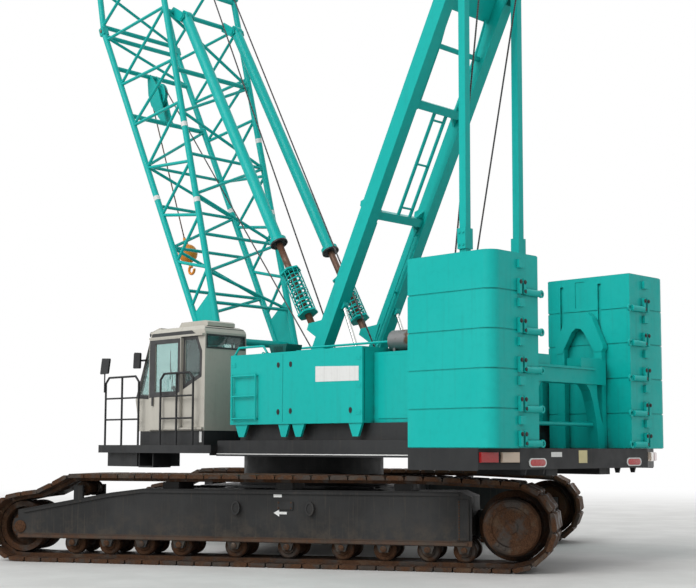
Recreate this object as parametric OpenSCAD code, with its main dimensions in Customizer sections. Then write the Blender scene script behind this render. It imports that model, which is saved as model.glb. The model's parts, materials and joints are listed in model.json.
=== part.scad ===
// Lattice boom crawler crane, in millimetres.
// +Z is up, the upper machinery faces -Y, and the origin is the slewing centre on the ground.
// The tracks stand turned under the upper machinery, as the machine was left.

/* [Undercarriage] */
// Angle between the tracks and the upper machinery, in degrees
track_yaw = 31; // [0:1:60]
// Distance between the centres of the two tracks
track_gauge = 5540; // [5300:10:6000]
// Distance from idler axle to sprocket axle
tumbler_span = 7220; // [7000:10:7600]
// Width of a track shoe
shoe_w = 1100; // [900:10:1200]
// Thickness of a shoe plate
shoe_t = 60; // [50:1:70]
// Height of the upper run of the track
track_top = 1280; // [1260:5:1340]
// Number of shoes on a track
shoe_count = 67; // [60:1:72]
// Radius of the sprocket's wrap, to the face of the shoes
sprocket_wrap_r = 610; // [590:1:620]
// Radius of the idler's wrap, to the face of the shoes
idler_wrap_r = 500; // [480:1:540]
// Radius of a bottom roller
roller_r = 160; // [140:1:170]
// Height of the bottom edge of a track frame
frame_bottom = 335; // [320:1:360]
// Width of a track frame
frame_w = 820; // [760:10:860]

/* [Upper machinery] */
// Half of the width of the deck and of the machinery house
house_x = 1900; // [1850:10:2000]
// Half of the width of the free middle between the houses
mid_x = 1010; // [990:5:1050]
// Height of the underside of the deck
deck_bottom = 1530; // [1500:5:1560]
// Height of the deck
deck_top = 1770; // [1740:5:1800]
// Height of the underside of the house
house_bottom = 2010; // [1980:5:2060]
// Height of the roof of the house
house_top = 3080; // [3000:10:3200]
// Front of the near house, measured from the slewing centre
house_front = 100; // [60:10:200]
// Rear of the house
house_rear = 2940; // [2900:10:3000]
// Thickness of a house panel
panel_t = 40; // [30:1:50]

/* [Cab] */
// Outer face of the cab
cab_x = 1880; // [1840:5:1900]
// Width of the cab
cab_w = 860; // [800:10:870]
// Height of the cab floor's underside
cab_bottom = 1930; // [1900:5:1960]
// Height of the cab roof
cab_top = 3620; // [3550:5:3700]
// Rear face of the cab, ahead of the slewing centre
cab_rear = 560; // [500:10:600]
// Thickness of the cab walls
cab_wall = 50; // [40:1:60]
// Thickness of the glass
glass_t = 10; // [8:1:12]
// Travel of the sliding door
door_travel = 560; // [500:10:580]

/* [Counterweight] */
// Half of the width across both stacks
cw_x = 2080; // [2040:10:2120]
// Half of the gap between the stacks
cw_gap = 1107; // [1080:1:1140]
// Front face of the slabs
cw_front = 3950; // [3920:10:4000]
// Rear face of the slabs
cw_rear = 5370; // [5300:10:5450]
// Underside of the first slab
cw_bottom = 1660; // [1640:5:1680]
// Height of one slab
slab_h = 504; // [480:1:520]
// Number of slabs in a stack
slab_count = 5; // [4:1:6]
// Radius of the slabs' rear outer corner
cw_corner = 165; // [120:5:200]

/* [Mast] */
// Mast foot pin behind the slewing centre
mast_foot_y = 450; // [400:10:500]
// Height of the mast foot pin
mast_foot_z = 2500; // [2400:10:2560]
// Length of the mast from foot pin to head pin
mast_len = 7290; // [7000:10:7600]
// Lean of the mast above the horizontal, in degrees
mast_angle = 63; // [62:0.5:64]
// Distance from the centre line to a mast leg
mast_leg_x = 630; // [600:5:660]
// Width of a mast leg
mast_leg_w = 200; // [180:5:220]
// Depth of a mast leg
mast_leg_d = 240; // [220:5:260]

/* [Boom] */
// Boom foot pin ahead of the slewing centre
boom_foot_y = 1100; // [1050:10:1200]
// Height of the boom foot pin
boom_foot_z = 2100; // [2050:10:2150]
// Angle of the boom above the horizontal, in degrees
boom_angle = 69; // [65:1:72]
// Length of the base section
base_len = 8500; // [8000:50:9000]
// Length of the tip section up to the head sheaves' axle
tip_len = 8300; // [7500:50:9000]
// Distance from the centre line to a chord's centre
chord_x = 880; // [860:5:900]
// Half of the boom's full depth, to a chord's centre
chord_v = 950; // [900:5:1000]
// Outer radius of a chord
chord_r = 57; // [50:1:62]
// Radius of a lacing tube
lace_r = 30; // [24:1:36]
// Radius of the boom foot pins
foot_pin_r = 60; // [50:1:70]

/* [Rigging] */
// Radius of a backstop tube
backstop_r = 98; // [90:1:105]
// Radius of a backstop rod
backstop_rod_r = 55; // [45:1:60]
// Radius of a head sheave
sheave_r = 250; // [240:5:270]
// Hook block's drop below the head sheaves' axle
hook_drop = 2600; // [2400:50:3200]

/* [Hidden] */
$fn = 48;
fit = 0.5;
run_fit = 0.05;
half_gauge = track_gauge / 2;
half_span = tumbler_span / 2;
tread_z = shoe_t + 50;
roller_z = tread_z + fit + roller_r;
tip_v = 330;
tip_x = 420;
head_s = base_len + tip_len;
head_v = -750;
teal = [0.13, 0.68, 0.64];
dark = [0.27, 0.28, 0.30];
rust = [0.47, 0.30, 0.18];
cream = [0.85, 0.82, 0.76];
steel = [0.55, 0.56, 0.58];

// Frames of reference
module in_tracks() rotate([0, 0, track_yaw]) children();
module at_side(side) translate([side * half_gauge, 0, 0]) mirror([side < 0 ? 1 : 0, 0, 0]) children();
module in_boom() translate([0, -boom_foot_y, boom_foot_z]) rotate([90 - boom_angle, 0, 0]) children();
module in_mast() translate([0, mast_foot_y, mast_foot_z]) rotate([mast_angle - 90, 0, 0]) children();
module both() { children(); mirror([1, 0, 0]) children(); }

// A straight tube between two points
module rod(p, q, r, n = 24) {
    v = q - p;
    l = norm(v);
    translate(p) rotate([0, acos(v[2] / l), atan2(v[1], v[0])]) rotate([0, 0, 23]) cylinder(r = r, h = l, $fn = n);
}

// A box given by its lowest and highest corners
module block(lo, hi) translate(lo) cube(hi - lo);

// A plate along X given by an outline of [y, z] points
module side_plate(x0, x1, points)
    translate([x0, 0, 0]) rotate([90, 0, 90]) linear_extrude(x1 - x0) polygon(points);

// A shaft along X
module cross_shaft(x0, x1, y, z, r) translate([x0, y, z]) rotate([0, 90, 0]) cylinder(r = r, h = x1 - x0);

// A wheel turned from a profile of [radius, x] points, mirrored about its middle
module wheel(y, z, half) translate([0, y, z]) rotate([0, 90, 0])
    rotate_extrude() polygon(concat([[0, half[0][1]]], half, [[half[len(half) - 1][0], -half[len(half) - 1][1]]],
        [for (i = [len(half) - 2 : -1 : 0]) [half[i][0], -half[i][1]]], [[0, -half[0][1]]]));
// Half profile of a grooved sheave of radius r and half width w, with its hub
groove = 30;
function sheave_half(r, w) = [[75, w + 8], [100, w + 8], [100, w / 2], [r - 55, w / 2], [r - 42, w], [r, w], [r - groove, w / 4]];

// Undercarriage
axle_y = 1150;
axle_pad = 30;
axle_end = frame_w / 2 + axle_pad + 0.3;
ring_r = 1150;
ring_bore = 950;
ring_bottom = 1180;
ring_top = 1335;
module carbody() {
    color(dark) in_tracks() {
        translate([0, 0, 560]) cylinder(r1 = 1120, r2 = 1230, h = ring_bottom - 560);
        side_plate(-1500, 1500, [[-1500, 620], [-1400, 540], [1400, 540], [1500, 620], [1500, 1010], [1430, 1080],
            [-1430, 1080], [-1500, 1010]]);
        for (y = [-axle_y, axle_y]) {
            block([-half_gauge + axle_end, y - 330, 520], [half_gauge - axle_end, y + 330, 1060]);
            // Collars where the axles meet the track frames
            for (x = [-half_gauge + axle_end + 40, half_gauge - axle_end - 130])
                block([x, y - 370, 485], [x + 90, y + 370, 1095]);
        }
    }
}
module slew_ring() {
    color(steel) translate([0, 0, ring_bottom]) difference() {
        cylinder(r = ring_r, h = ring_top - ring_bottom, $fn = 96);
        translate([0, 0, -1]) cylinder(r = ring_bore, h = 300, $fn = 96);
    }
}

// Rollers under a track frame, by their distance from the middle
roller_at = [-2780, -2240, -1700, -1130, -310, 470, 1250, 1850, 2460, 2960];
pin_z = 70;
rail_w = 620;
carrier_y = -2700;
carrier_r = 110;
carrier_z = track_top - tread_z - carrier_r - 4;
skid_at = [-1300, 400, 2100];
frame_top = 1070;
arm_t = 60;
flange = 22;
stub_out = 25;
stub_at = [-270, 810];
axle_x = frame_w / 2 - arm_t - 0.3;
idler_pin_r = idler_wrap_r - pin_z;
sprocket_pin_r = sprocket_wrap_r - pin_z;
body_front = -half_span + idler_wrap_r - 60;
body_rear = half_span - sprocket_wrap_r + 70;
module track_frame(side) {
    color(dark) in_tracks() at_side(side) {
        side_plate(-frame_w / 2, frame_w / 2,
            [[body_front, 480], [body_front, 820], [-2170, 1010], [-1690, frame_top], [2900, frame_top],
             [body_rear, 1000], [body_rear, 480]]);
        for (x = [-frame_w / 2, frame_w / 2 - arm_t]) {
            side_plate(x, x + arm_t,
                [[-3650, frame_bottom], [-3650, 745], [-2170, 1010], [-2170, 490], [body_rear, 490],
                 [body_rear, frame_bottom]]);
            block([x, -half_span - 100, 430], [x + arm_t, -3600, 620]);
            block([x, carrier_y - 70, 850], [x + arm_t, carrier_y + 70, carrier_z + 50]);
            // Brackets that hold the ends of the rollers' shafts
            for (y = roller_at)
                side_plate(x, x + arm_t, [[y - 95, frame_bottom + 1], [y + 95, frame_bottom + 1], [y + 60, 235], [y - 60, 235]]);
        }
        for (x = [-frame_w / 2 - flange, frame_w / 2 - 1]) {
            // Flanges along the top and bottom of the side plates
            side_plate(x, x + flange + 1,
                [[-3560, 700], [-3560, 735], [-2170, 985], [-1690, frame_top - 22], [2900, frame_top - 22],
                 [2900, frame_top - 57], [-1690, frame_top - 57], [-2170, 950]]);
            side_plate(x, x + flange + 1, [[-3620, frame_bottom + 12], [-3620, frame_bottom + 52],
                [body_rear - 60, frame_bottom + 52], [body_rear - 60, frame_bottom + 12]]);
        }
        // Lifting stubs, a blank plate and an end plate on the outer side, pads for the axles on the inner side
        for (y = stub_at)
            side_plate(frame_w / 2 - 1, frame_w / 2 + flange + stub_out, [for (a = [15 : 30 : 345]) [y + 62 * cos(a), 815 + 95 * sin(a)]]);
        side_plate(frame_w / 2 - 1, frame_w / 2 + flange, [[330, 800], [560, 800], [560, 915], [330, 915]]);
        side_plate(frame_w / 2 - 1, frame_w / 2 + flange,
            [[body_rear - 210, 420], [body_rear - 40, 420], [body_rear - 40, 960], [body_rear - 210, 960]]);
        for (y = [-axle_y, axle_y])
            block([-frame_w / 2 - axle_pad, y - 420, 460], [-frame_w / 2 + 1, y + 420, frame_top - 5]);
        for (y = skid_at)
            block([-rail_w / 2, y - 120, frame_top - 1], [rail_w / 2, y + 120, track_top - tread_z - 4]);
        block([-frame_w / 2, body_rear - 200, 440], [-frame_w / 2 + 160, half_span + 200, 800]);
    }
}

// The track's pin line as [y, z] points: along the ground, round the sprocket, over the top with
// its slack ahead of the carrier roller, and round the idler
pin_line = concat(
    [for (a = [0 : 3 : 177]) [half_span + sprocket_pin_r * sin(a), sprocket_wrap_r - sprocket_pin_r * cos(a)]],
    [[2300, track_top - pin_z], [-2800, track_top - pin_z], [-3250, 1050 - pin_z]],
    [for (a = [173 : -3 : 2]) [-half_span - idler_pin_r * sin(a), idler_wrap_r - idler_pin_r * cos(a)]],
    [[-half_span, pin_z]]);
function cum(v, i = 0, s = 0) = i == len(v) ? [] :
    concat([s], cum(v, i + 1, s + norm(v[(i + 1) % len(v)] - v[i])));
pin_cum = cum(pin_line);
loop_len = pin_cum[len(pin_line) - 1] + norm(pin_line[0] - pin_line[len(pin_line) - 1]);
shoe_pitch = loop_len / shoe_count;
function spot(s, i = 0) = (i + 1 < len(pin_line) && pin_cum[i + 1] <= s) ? spot(s, i + 1) :
    pin_line[i] + (pin_line[(i + 1) % len(pin_line)] - pin_line[i]) * (s - pin_cum[i])
        / norm(pin_line[(i + 1) % len(pin_line)] - pin_line[i]);
pins = [for (i = [0 : shoe_count - 1]) spot(i * shoe_pitch)];
shoe_gap = 18;
shoe_edge = 22;
module at_shoe(i) {
    v = pins[(i + 1) % shoe_count] - pins[i];
    translate(pins[i]) rotate(atan2(v[1], v[0])) children();
}
module track(side) {
    color(rust) in_tracks() at_side(side) rotate([90, 0, 90]) {
        translate([0, 0, -shoe_w / 2]) linear_extrude(shoe_w)
            for (i = [0 : shoe_count - 1]) at_shoe(i)
                translate([0, -pin_z]) polygon([[shoe_gap / 2, shoe_edge], [shoe_gap / 2 + shoe_edge, 0],
                    [shoe_pitch - shoe_gap / 2 - shoe_edge, 0], [shoe_pitch - shoe_gap / 2, shoe_edge],
                    [shoe_pitch - shoe_gap / 2, shoe_t], [shoe_gap / 2, shoe_t]]);
        translate([0, 0, -rail_w / 2]) linear_extrude(rail_w)
            for (i = [0 : shoe_count - 1]) at_shoe(i)
                translate([-12, -pin_z + shoe_t - 15]) square([shoe_pitch + 24, tread_z - shoe_t + 15]);
    }
}
// Wheels end at the inner face of the shoes, which lie as chords round them
function chord_in(r) = sqrt(r * r - shoe_pitch * shoe_pitch / 4) - (tread_z - pin_z) - 3;
sprocket_r = chord_in(sprocket_pin_r);
hub_out = shoe_w / 2 - 40;
idler_r = chord_in(idler_pin_r);
module sprocket(side) {
    color(rust) in_tracks() at_side(side) {
        wheel(half_span, sprocket_wrap_r, [[300, 150], [300, 120], [sprocket_r - 60, 120], [sprocket_r, 90]]);
        // Drive housing, dished on its outer face
        translate([0, half_span, sprocket_wrap_r]) rotate([0, 90, 0]) rotate_extrude()
            polygon([[0, -frame_w / 2 + 160], [340, -frame_w / 2 + 160], [390, -frame_w / 2 + 210], [390, hub_out - 70],
                [365, hub_out - 40], [365, hub_out - 12], [335, hub_out], [270, hub_out], [255, hub_out - 22], [0, hub_out - 22]]);
    }
}
module idler(side) {
    color(rust) in_tracks() at_side(side) {
        cross_shaft(-axle_x, axle_x, -half_span, idler_wrap_r, 100);
        wheel(-half_span, idler_wrap_r, [[160, 330], [190, 300], [190, 150], [idler_r - 90, 150], [idler_r - 80, 300], [idler_r, 300],
            [idler_r, 90], [idler_r - 30, 80]]);
    }
}
module rollers(side) {
    color(rust) in_tracks() at_side(side) {
        for (y = roller_at) {
            cross_shaft(-axle_x, axle_x, y, roller_z, 55);
            wheel(y, roller_z, [[85, 335], [95, 325], [95, 312], [roller_r - 20, 312], [roller_r, 295], [roller_r, 200],
                [roller_r - 35, 180]]);
        }
        cross_shaft(-axle_x, axle_x, carrier_y, carrier_z, 50);
        wheel(carrier_y, carrier_z, [[75, 230], [carrier_r - 10, 230], [carrier_r, 215], [carrier_r, 100], [carrier_r - 20, 90]]);
    }
}

// Upper frame
race_r = ring_bore - fit;
foot_eye_w = 120;
foot_eye_r = 135;
beam_x = 1000;
beam_top = 1900;
foot_plate_t = 50;
foot_gap = foot_eye_w / 2 + 2;
module main_frame() {
    color(dark) {
        translate([0, 0, 1230]) cylinder(r = race_r, h = 330, $fn = 96);
        translate([0, 0, ring_top + fit]) cylinder(r = ring_r, h = deck_bottom - ring_top, $fn = 96);
        block([-beam_x, -1500, deck_bottom], [beam_x, cw_front, beam_top]);
        block([-house_x, house_front - 300, deck_bottom], [house_x, 3900, deck_top]);
        for (x = [-house_x - 22, house_x - 1])
            block([x, house_front - 300, deck_bottom], [x + 23, 3900, deck_bottom + 34]);
        for (s = [-1, 1]) {
            // Brackets and pins of the boom foot
            for (x = [chord_x - foot_gap - foot_plate_t / 2, chord_x + foot_gap + foot_plate_t / 2])
                side_plate(s * x - foot_plate_t / 2, s * x + foot_plate_t / 2,
                    [[-1500, 1800], [-1400, 2150], [-1180, 2300], [-1020, 2300], [-600, 1900], [-500, 1800]]);
            cross_shaft(s * chord_x - foot_gap - 10, s * chord_x + foot_gap + 10, -boom_foot_y, boom_foot_z, foot_pin_r);
            // Cheeks at the mast foot
            for (x = [leg_in - 20 - fit, leg_out + 20 + fit])
                side_plate(s * x - 20, s * x + 20, [[150, 1800], [300, 2600], [600, 2600], [900, 1800]]);
            // Plinth under the house
            block([s > 0 ? mid_x : 160 - house_x, house_front + 60, deck_top - 1],
                [s > 0 ? house_x - 160 : -mid_x, 3850, house_bottom]);
            // Girders that carry the winch drums
            side_plate(s * drum_wall - 30, s * drum_wall + 30,
                [[700, 1800], [700, 2300], [800, 2400], [3300, 2400], [3300, 1800]]);
            // Lugs of the mast's rear links
            for (x = [mast_leg_x - link_w / 2 - 15, mast_leg_x + link_w / 2 + 15])
                side_plate(s * x - 15, s * x + 15, [[3600, 1800], [3690, 2120], [3830, 2120], [3920, 1800]]);
        }
    }
}

rail_x = 1985;
rail_r = 18;
module cab_platform() {
    color(dark) {
        block([beam_x, -3250, 1600], [rail_x + 30, -210, 1690]);
        block([beam_x, -3150, 1340], [cab_x + 20, -2300, 1600]);
        block([cab_x - cab_w, -2250, 1690], [cab_x, -cab_rear, cab_bottom]);
        // Channel along the platform's edge, and a step below it
        block([rail_x + 29, -3250, 1570], [rail_x + 42, -210, 1700]);
        block([cab_x - 300, -2200, 1330], [cab_x + 60, -1800, 1355]);
        for (y = [-2200, -1820]) block([cab_x - 300, y, 1330], [cab_x + 60, y + 20, 1601]);
    }
}
// A rail with rounded ends on three posts, from y0 to y1
module hoop_rail(y0, y1, top) {
    for (y = [y0, (y0 + y1) / 2, y1])
        translate([rail_x, y, 1690]) cylinder(r = rail_r, h = top - 1690 - (y == (y0 + y1) / 2 ? 0 : 90));
    rod([rail_x, y0, top - 95], [rail_x, y0 + 95, top], rail_r);
    rod([rail_x, y0 + 90, top], [rail_x, y1 - 90, top], rail_r);
    rod([rail_x, y1 - 95, top], [rail_x, y1, top - 95], rail_r);
    for (z = [2130, 2490]) rod([rail_x, y0, z], [rail_x, y1, z], rail_r - 3);
}
module platform_rails() {
    color(dark) {
        hoop_rail(-3120, -2170, 2850);
        hoop_rail(-1570, -720, 2860);
    }
}

cab_out = [[-2280, cab_bottom], [-2400, 2460], [-1985, 3530], [-1950, 3580], [-1880, cab_top],
    [-cab_rear - 130, cab_top], [-cab_rear - 40, cab_top - 30], [-cab_rear, cab_top - 110], [-cab_rear, cab_bottom]];
cab_in = [[-2280 + cab_wall, cab_bottom + cab_wall], [-2400 + cab_wall, 2460], [-1960 + cab_wall, 3570 - cab_wall],
    [-cab_rear - cab_wall - 60, cab_top - cab_wall], [-cab_rear - cab_wall, cab_top - cab_wall - 60],
    [-cab_rear - cab_wall, cab_bottom + cab_wall]];
door_bottom = 1980;
door_top = 3450;
door_front = -1970;
door_rear = -1130;
quarter_front = [[-2305, 2540], [-2020, 2520], [-2020, 3330], [-2040, 3330]];
quarter_rear = [[-1075, 2680], [-690, 2830], [-690, 3180], [-790, 3400], [-1075, 3400]];
door_window = [[-1810, 2570], [-1290, 2570], [-1200, 2600], [-1200, 3360], [-1810, 3360]];
// Points drawn in towards their own middle
function mid_of(v, i = 0) = i == len(v) ? [0, 0] : v[i] / len(v) + mid_of(v, i + 1);
function drawn_in(v, share) = [for (q = v) mid_of(v) + (q - mid_of(v)) * share];
rail_t = 30;
module cab_shell() {
    color(cream) {
        difference() {
            intersection() {
                side_plate(cab_x - cab_w, cab_x, cab_out);
                // Roof edges are bevelled
                translate([0, -400, 0]) rotate([90, 0, 0]) linear_extrude(2200)
                    polygon([[cab_x - cab_w - 1, cab_bottom - 1], [cab_x + 1, cab_bottom - 1], [cab_x + 1, cab_top - 70],
                        [cab_x - 55, cab_top + 1], [cab_x - cab_w + 55, cab_top + 1], [cab_x - cab_w - 1, cab_top - 70]]);
            }
            side_plate(cab_x - cab_w + cab_wall, cab_x - cab_wall, cab_in);
            // Door way
            block([cab_x - 2 * cab_wall, -1930, 2010], [cab_x + 10, -1190, 3390]);
            for (outline = [quarter_front, quarter_rear])
                side_plate(cab_x - 2 * cab_wall, cab_x + 10, outline);
            // Windscreen, and the window below it
            translate([cab_x - cab_w + 80, -2300, 2530]) rotate([-21.2, 0, 0]) block([0, -150, 0], [cab_w - 160, 150, 980]);
            translate([cab_x - cab_w + 80, -2250, 2060]) rotate([12.8, 0, 0]) block([0, -150, 0], [cab_w - 160, 150, 330]);
            // Rear window
            block([cab_x - cab_w + 50, -cab_rear - 2 * cab_wall, 3270], [cab_x - 50, -cab_rear + 10, 3450]);
            // Inner side window
            block([cab_x - cab_w - 10, -1700, 2700], [cab_x - cab_w + 2 * cab_wall, -800, 3380]);
        }
        // Rails that the door slides on, and the bar behind it
        for (z = [door_bottom - rail_t, door_top])
            block([cab_x - 1, door_front - 10, z], [cab_x + 50, -cab_rear - 12, z + rail_t]);
        block([cab_x - 1, -1100, 2435], [cab_x + 4, -600, 2465]);
        // Cooling unit and sun visor on the roof
        side_plate(cab_x - 690, cab_x - 120, [[-1400, cab_top - 1], [-1330, cab_top + 85], [-700, cab_top + 85],
            [-650, cab_top + 60], [-650, cab_top - 1]]);
        side_plate(cab_x - cab_w + 70, cab_x - 70, [[-2000, 3545], [-2110, 3560], [-2110, 3580], [-1870, cab_top + 25],
            [-1820, cab_top + 25], [-1820, cab_top - 1]]);
    }
}
module cab_glass() {
    color([0.6, 0.8, 0.8]) {
        for (outline = [quarter_front, quarter_rear])
            side_plate(cab_x - 25, cab_x - 25 + glass_t, drawn_in(outline, 0.998));
        block([cab_x - cab_w + 50 + fit, -cab_rear - 30, 3270 + fit],
            [cab_x - 50 - fit, -cab_rear - 30 + glass_t, 3450 - fit]);
        block([cab_x - cab_w + 20, -1700 + fit, 2700 + fit], [cab_x - cab_w + 20 + glass_t, -800 - fit, 3380 - fit]);
        translate([cab_x - cab_w + 80 + fit, -2300, 2530]) rotate([-21.2, 0, 0])
            block([0, -60, fit], [cab_w - 160 - 2 * fit, -60 + glass_t, 980 - fit]);
        translate([cab_x - cab_w + 80 + fit, -2250, 2060]) rotate([12.8, 0, 0])
            block([0, -45, fit], [cab_w - 160 - 2 * fit, -45 + glass_t, 330 - fit]);
    }
}
module cab_seat() {
    color(dark) {
        block([1300, -1350, cab_bottom + cab_wall + fit], [1600, -1050, 2230]);
        side_plate(1230, 1670, [[-1560, 2229], [-1570, 2340], [-1520, 2375], [-1120, 2350], [-980, 2990], [-930, 3000],
            [-900, 2960], [-990, 2290], [-1020, 2229]]);
        side_plate(1310, 1590, [[-980, 2980], [-960, 3160], [-900, 3160], [-910, 2980]]);
        // Consoles beside the seat
        for (x = [1120, 1685]) block([x, -1600, cab_bottom + cab_wall + fit], [x + 100, -1050, 2480]);
    }
}
module cab_door() {
    color(cream) {
        difference() {
            block([cab_x + 6, door_front, door_bottom + 0.3], [cab_x + 46, door_rear, door_top - 0.3]);
            side_plate(cab_x, cab_x + 60, door_window);
        }
        // Handle
        block([cab_x + 45, door_front + 105, 2350], [cab_x + 66, door_front + 135, 2480]);
    }
}
module door_glass() color([0.6, 0.8, 0.8]) side_plate(cab_x + 20, cab_x + 20 + glass_t, drawn_in(door_window, 0.998));
module mirrors() {
    color(dark) {
        // On the cab's front pillar
        side_plate(cab_x + 40, cab_x + 75, [[-2385, 3000], [-2370, 3235], [-2350, 3255], [-2210, 3245], [-2195, 3225],
            [-2205, 2995], [-2225, 2980], [-2370, 2985]]);
        block([cab_x, -2230, 3100], [cab_x + 41, -2100, 3130]);
        // On the first post of the platform rail
        rod([rail_x + rail_r + 12.5, -3120, 2600], [rail_x + rail_r + 12.5, -3120, 3000], 12);
        side_plate(rail_x + 24, rail_x + 56, [[-3225, 2930], [-3180, 3175], [-3165, 3190], [-2965, 3180], [-2955, 3160],
            [-3000, 2935], [-3015, 2920], [-3210, 2915]]);
    }
}

door_gap = 12;
seam_gap = 6;
lip_t = 35;
hinge_in = 20;
hinge_r = 12;
// Brackets that hang below the house's side, as [middle, width]
catches = [[345, 290], [1300, 240], [1615, 270], [2785, 270]];
module house() {
    color(teal) {
        difference() {
            union() {
                block([mid_x, house_front, house_bottom], [house_x, house_rear, house_top]);
                block([mid_x, house_rear - 10, house_bottom], [1660, 3900, 3000]);
            }
            block([mid_x + panel_t, house_front + panel_t, house_bottom + lip_t],
                [house_x + 10, house_rear - panel_t, house_top - lip_t]);
            block([house_x - panel_t - door_gap, house_front - 10, house_bottom + lip_t],
                [house_x + 10, house_rear + 10, house_top - lip_t]);
        }
        for (y = [house_front + hinge_in, house_rear - hinge_in])
            translate([house_x - hinge_in, y, house_bottom + 5])
                cylinder(r = hinge_r, h = house_top - house_bottom - 10);
        for (c = catches)
            side_plate(house_x - 60, house_x - 20, [[c[0] - c[1] / 2, house_bottom + 1], [c[0] + c[1] / 2, house_bottom + 1],
                [c[0] + c[1] / 5, house_bottom - 190], [c[0] - c[1] / 5, house_bottom - 190]]);
        // Panel on the narrow rear part, roof hatches and a roof lip
        block([1659, house_rear + 90, 2070], [1672, 3830, 2950]);
        for (y = [1450, 2160]) block([mid_x + 330, y, house_top - 1], [house_x - 130, y + 600, house_top + 22]);
        side_plate(mid_x + 480, house_x - 100, [[930, house_top - 1], [975, house_top + 120], [1200, house_top + 120],
            [1235, house_top - 1]]);
    }
}
module house_left() house();
module house_right() mirror([1, 0, 0]) house();
seam_y = 1300;
module side_door(y0, y1, hinge_y) difference() {
    block([house_x - panel_t, y0, house_bottom + lip_t + 0.3], [house_x, y1, house_top - lip_t - 0.3]);
    translate([house_x - hinge_in, hinge_y, house_bottom]) cylinder(r = hinge_r + run_fit, h = 2000);
}
// A louvre blade along Y, with its opening below
module slat(y0, y1, z) translate([house_x, y0, z]) rotate([-90, 0, 0])
    linear_extrude(y1 - y0) polygon([[-2, 0], [17, 0], [17, -6], [-2, -38]]);
module front_door() side_door(house_front, seam_y - seam_gap / 2, house_front + hinge_in);
module rear_door() side_door(seam_y + seam_gap / 2, house_rear, house_rear - hinge_in);
// Ladder that stands proud of the near door
grab_y = [190, 735];
module house_left_door_front() color(teal) {
    front_door();
    for (y = grab_y) {
        rod([grab_x, y, 2070], [grab_x, y, 2780], 13);
        for (z = [2100, 2750]) rod([house_x - 10, y, z], [grab_x, y, z], 11);
    }
    for (z = [2100, 2440, 2750]) rod([grab_x, grab_y[0], z], [grab_x, grab_y[1], z], 13);
}
grab_x = 1945;
module house_left_door_rear() color(teal) rear_door();
module house_right_door_front() color(teal) mirror([1, 0, 0]) front_door();
module house_right_door_rear() color(teal) mirror([1, 0, 0]) {
    rear_door();
    for (y = [1480, 2160], i = [0 : 9]) slat(y, y + 560, 2180 + 70 * i);
}
// A low rail along the roof with slanting ends on small feet
module roof_rail(x, y0, y1) {
    for (y = [y0, y1]) translate([x, y, house_top]) cylinder(r = 32, h = 14);
    rod([x, y0, house_top + 12], [x, y0 + 90, house_top + 120], 17);
    rod([x, y0 + 85, house_top + 118], [x, y1 - 85, house_top + 118], 17);
    rod([x, y1 - 90, house_top + 120], [x, y1, house_top + 12], 17);
}
module house_rails() {
    color(teal) both() {
        roof_rail(house_x - 60, 140, 880);
        roof_rail(mid_x + 150, 760, 2860);
    }
}
module engine_block() color(dark) block([1150, 700, house_bottom + lip_t], [1700, 2500, 2900]);
module exhaust() {
    color(dark) {
        // Silencer lying on the narrow part of the house, with its outlet
        translate([1300, 2970, 3175]) rotate([-90, 0, 0]) rotate_extrude()
            polygon([[0, 0], [120, 0], [158, 35], [158, 535], [120, 570], [0, 570]]);
        for (y = [3080, 3380]) block([1180, y, 3000], [1420, y + 40, 3120]);
        rod([1300, 3300, 3200], [1300, 3420, 3560], 45);
    }
}
drum_at = [1200, 2050, 2900];
drum_z = 2290;
drum_wall = 800;
module winch_drums() {
    color(steel) for (y = drum_at)
        wheel(y, drum_z, [[70, drum_wall - 30], [70, 650], [345, 650], [370, 635], [370, 605], [250, 595]]);
}

tail_out = [[-cw_x, cw_front], [cw_x, cw_front], [cw_x, 5130], [1520, cw_rear], [-1520, cw_rear], [-cw_x, 5130]];
module tail_frame() {
    color(dark) {
        translate([0, 0, 1390]) linear_extrude(cw_bottom - 1390 - fit) polygon(tail_out);
        // Lower lip along the sides
        for (x = [-cw_x, cw_x - 20]) block([x, cw_front, 1375], [x + 20, 5120, 1391]);
        both() {
            // Carrier below the tail for the lifting of the stacks
            block([500, cw_front + 100, 1300], [760, cw_rear - 150, 1391]);
            // Rings under the near and far end of the rear edge
            for (x = [900, 1300]) side_plate(x - 15, x + 15, [[cw_rear - 160, 1391], [cw_rear - 140, 1320], [cw_rear - 90, 1320],
                [cw_rear - 70, 1391]]);
        }
    }
}
module slab_plan(x0, x1, y0, y1, r) {
    translate([x0, y0]) square([x1 - x0, y1 - y0 - r]);
    translate([x0, y0]) square([x1 - x0 - r, y1 - y0]);
    translate([x1 - r, y1 - r]) circle(r = r);
}
slab_edge = 9;
coupler_y = cw_rear + 24;
slot_at = [4200, 4860];
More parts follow.
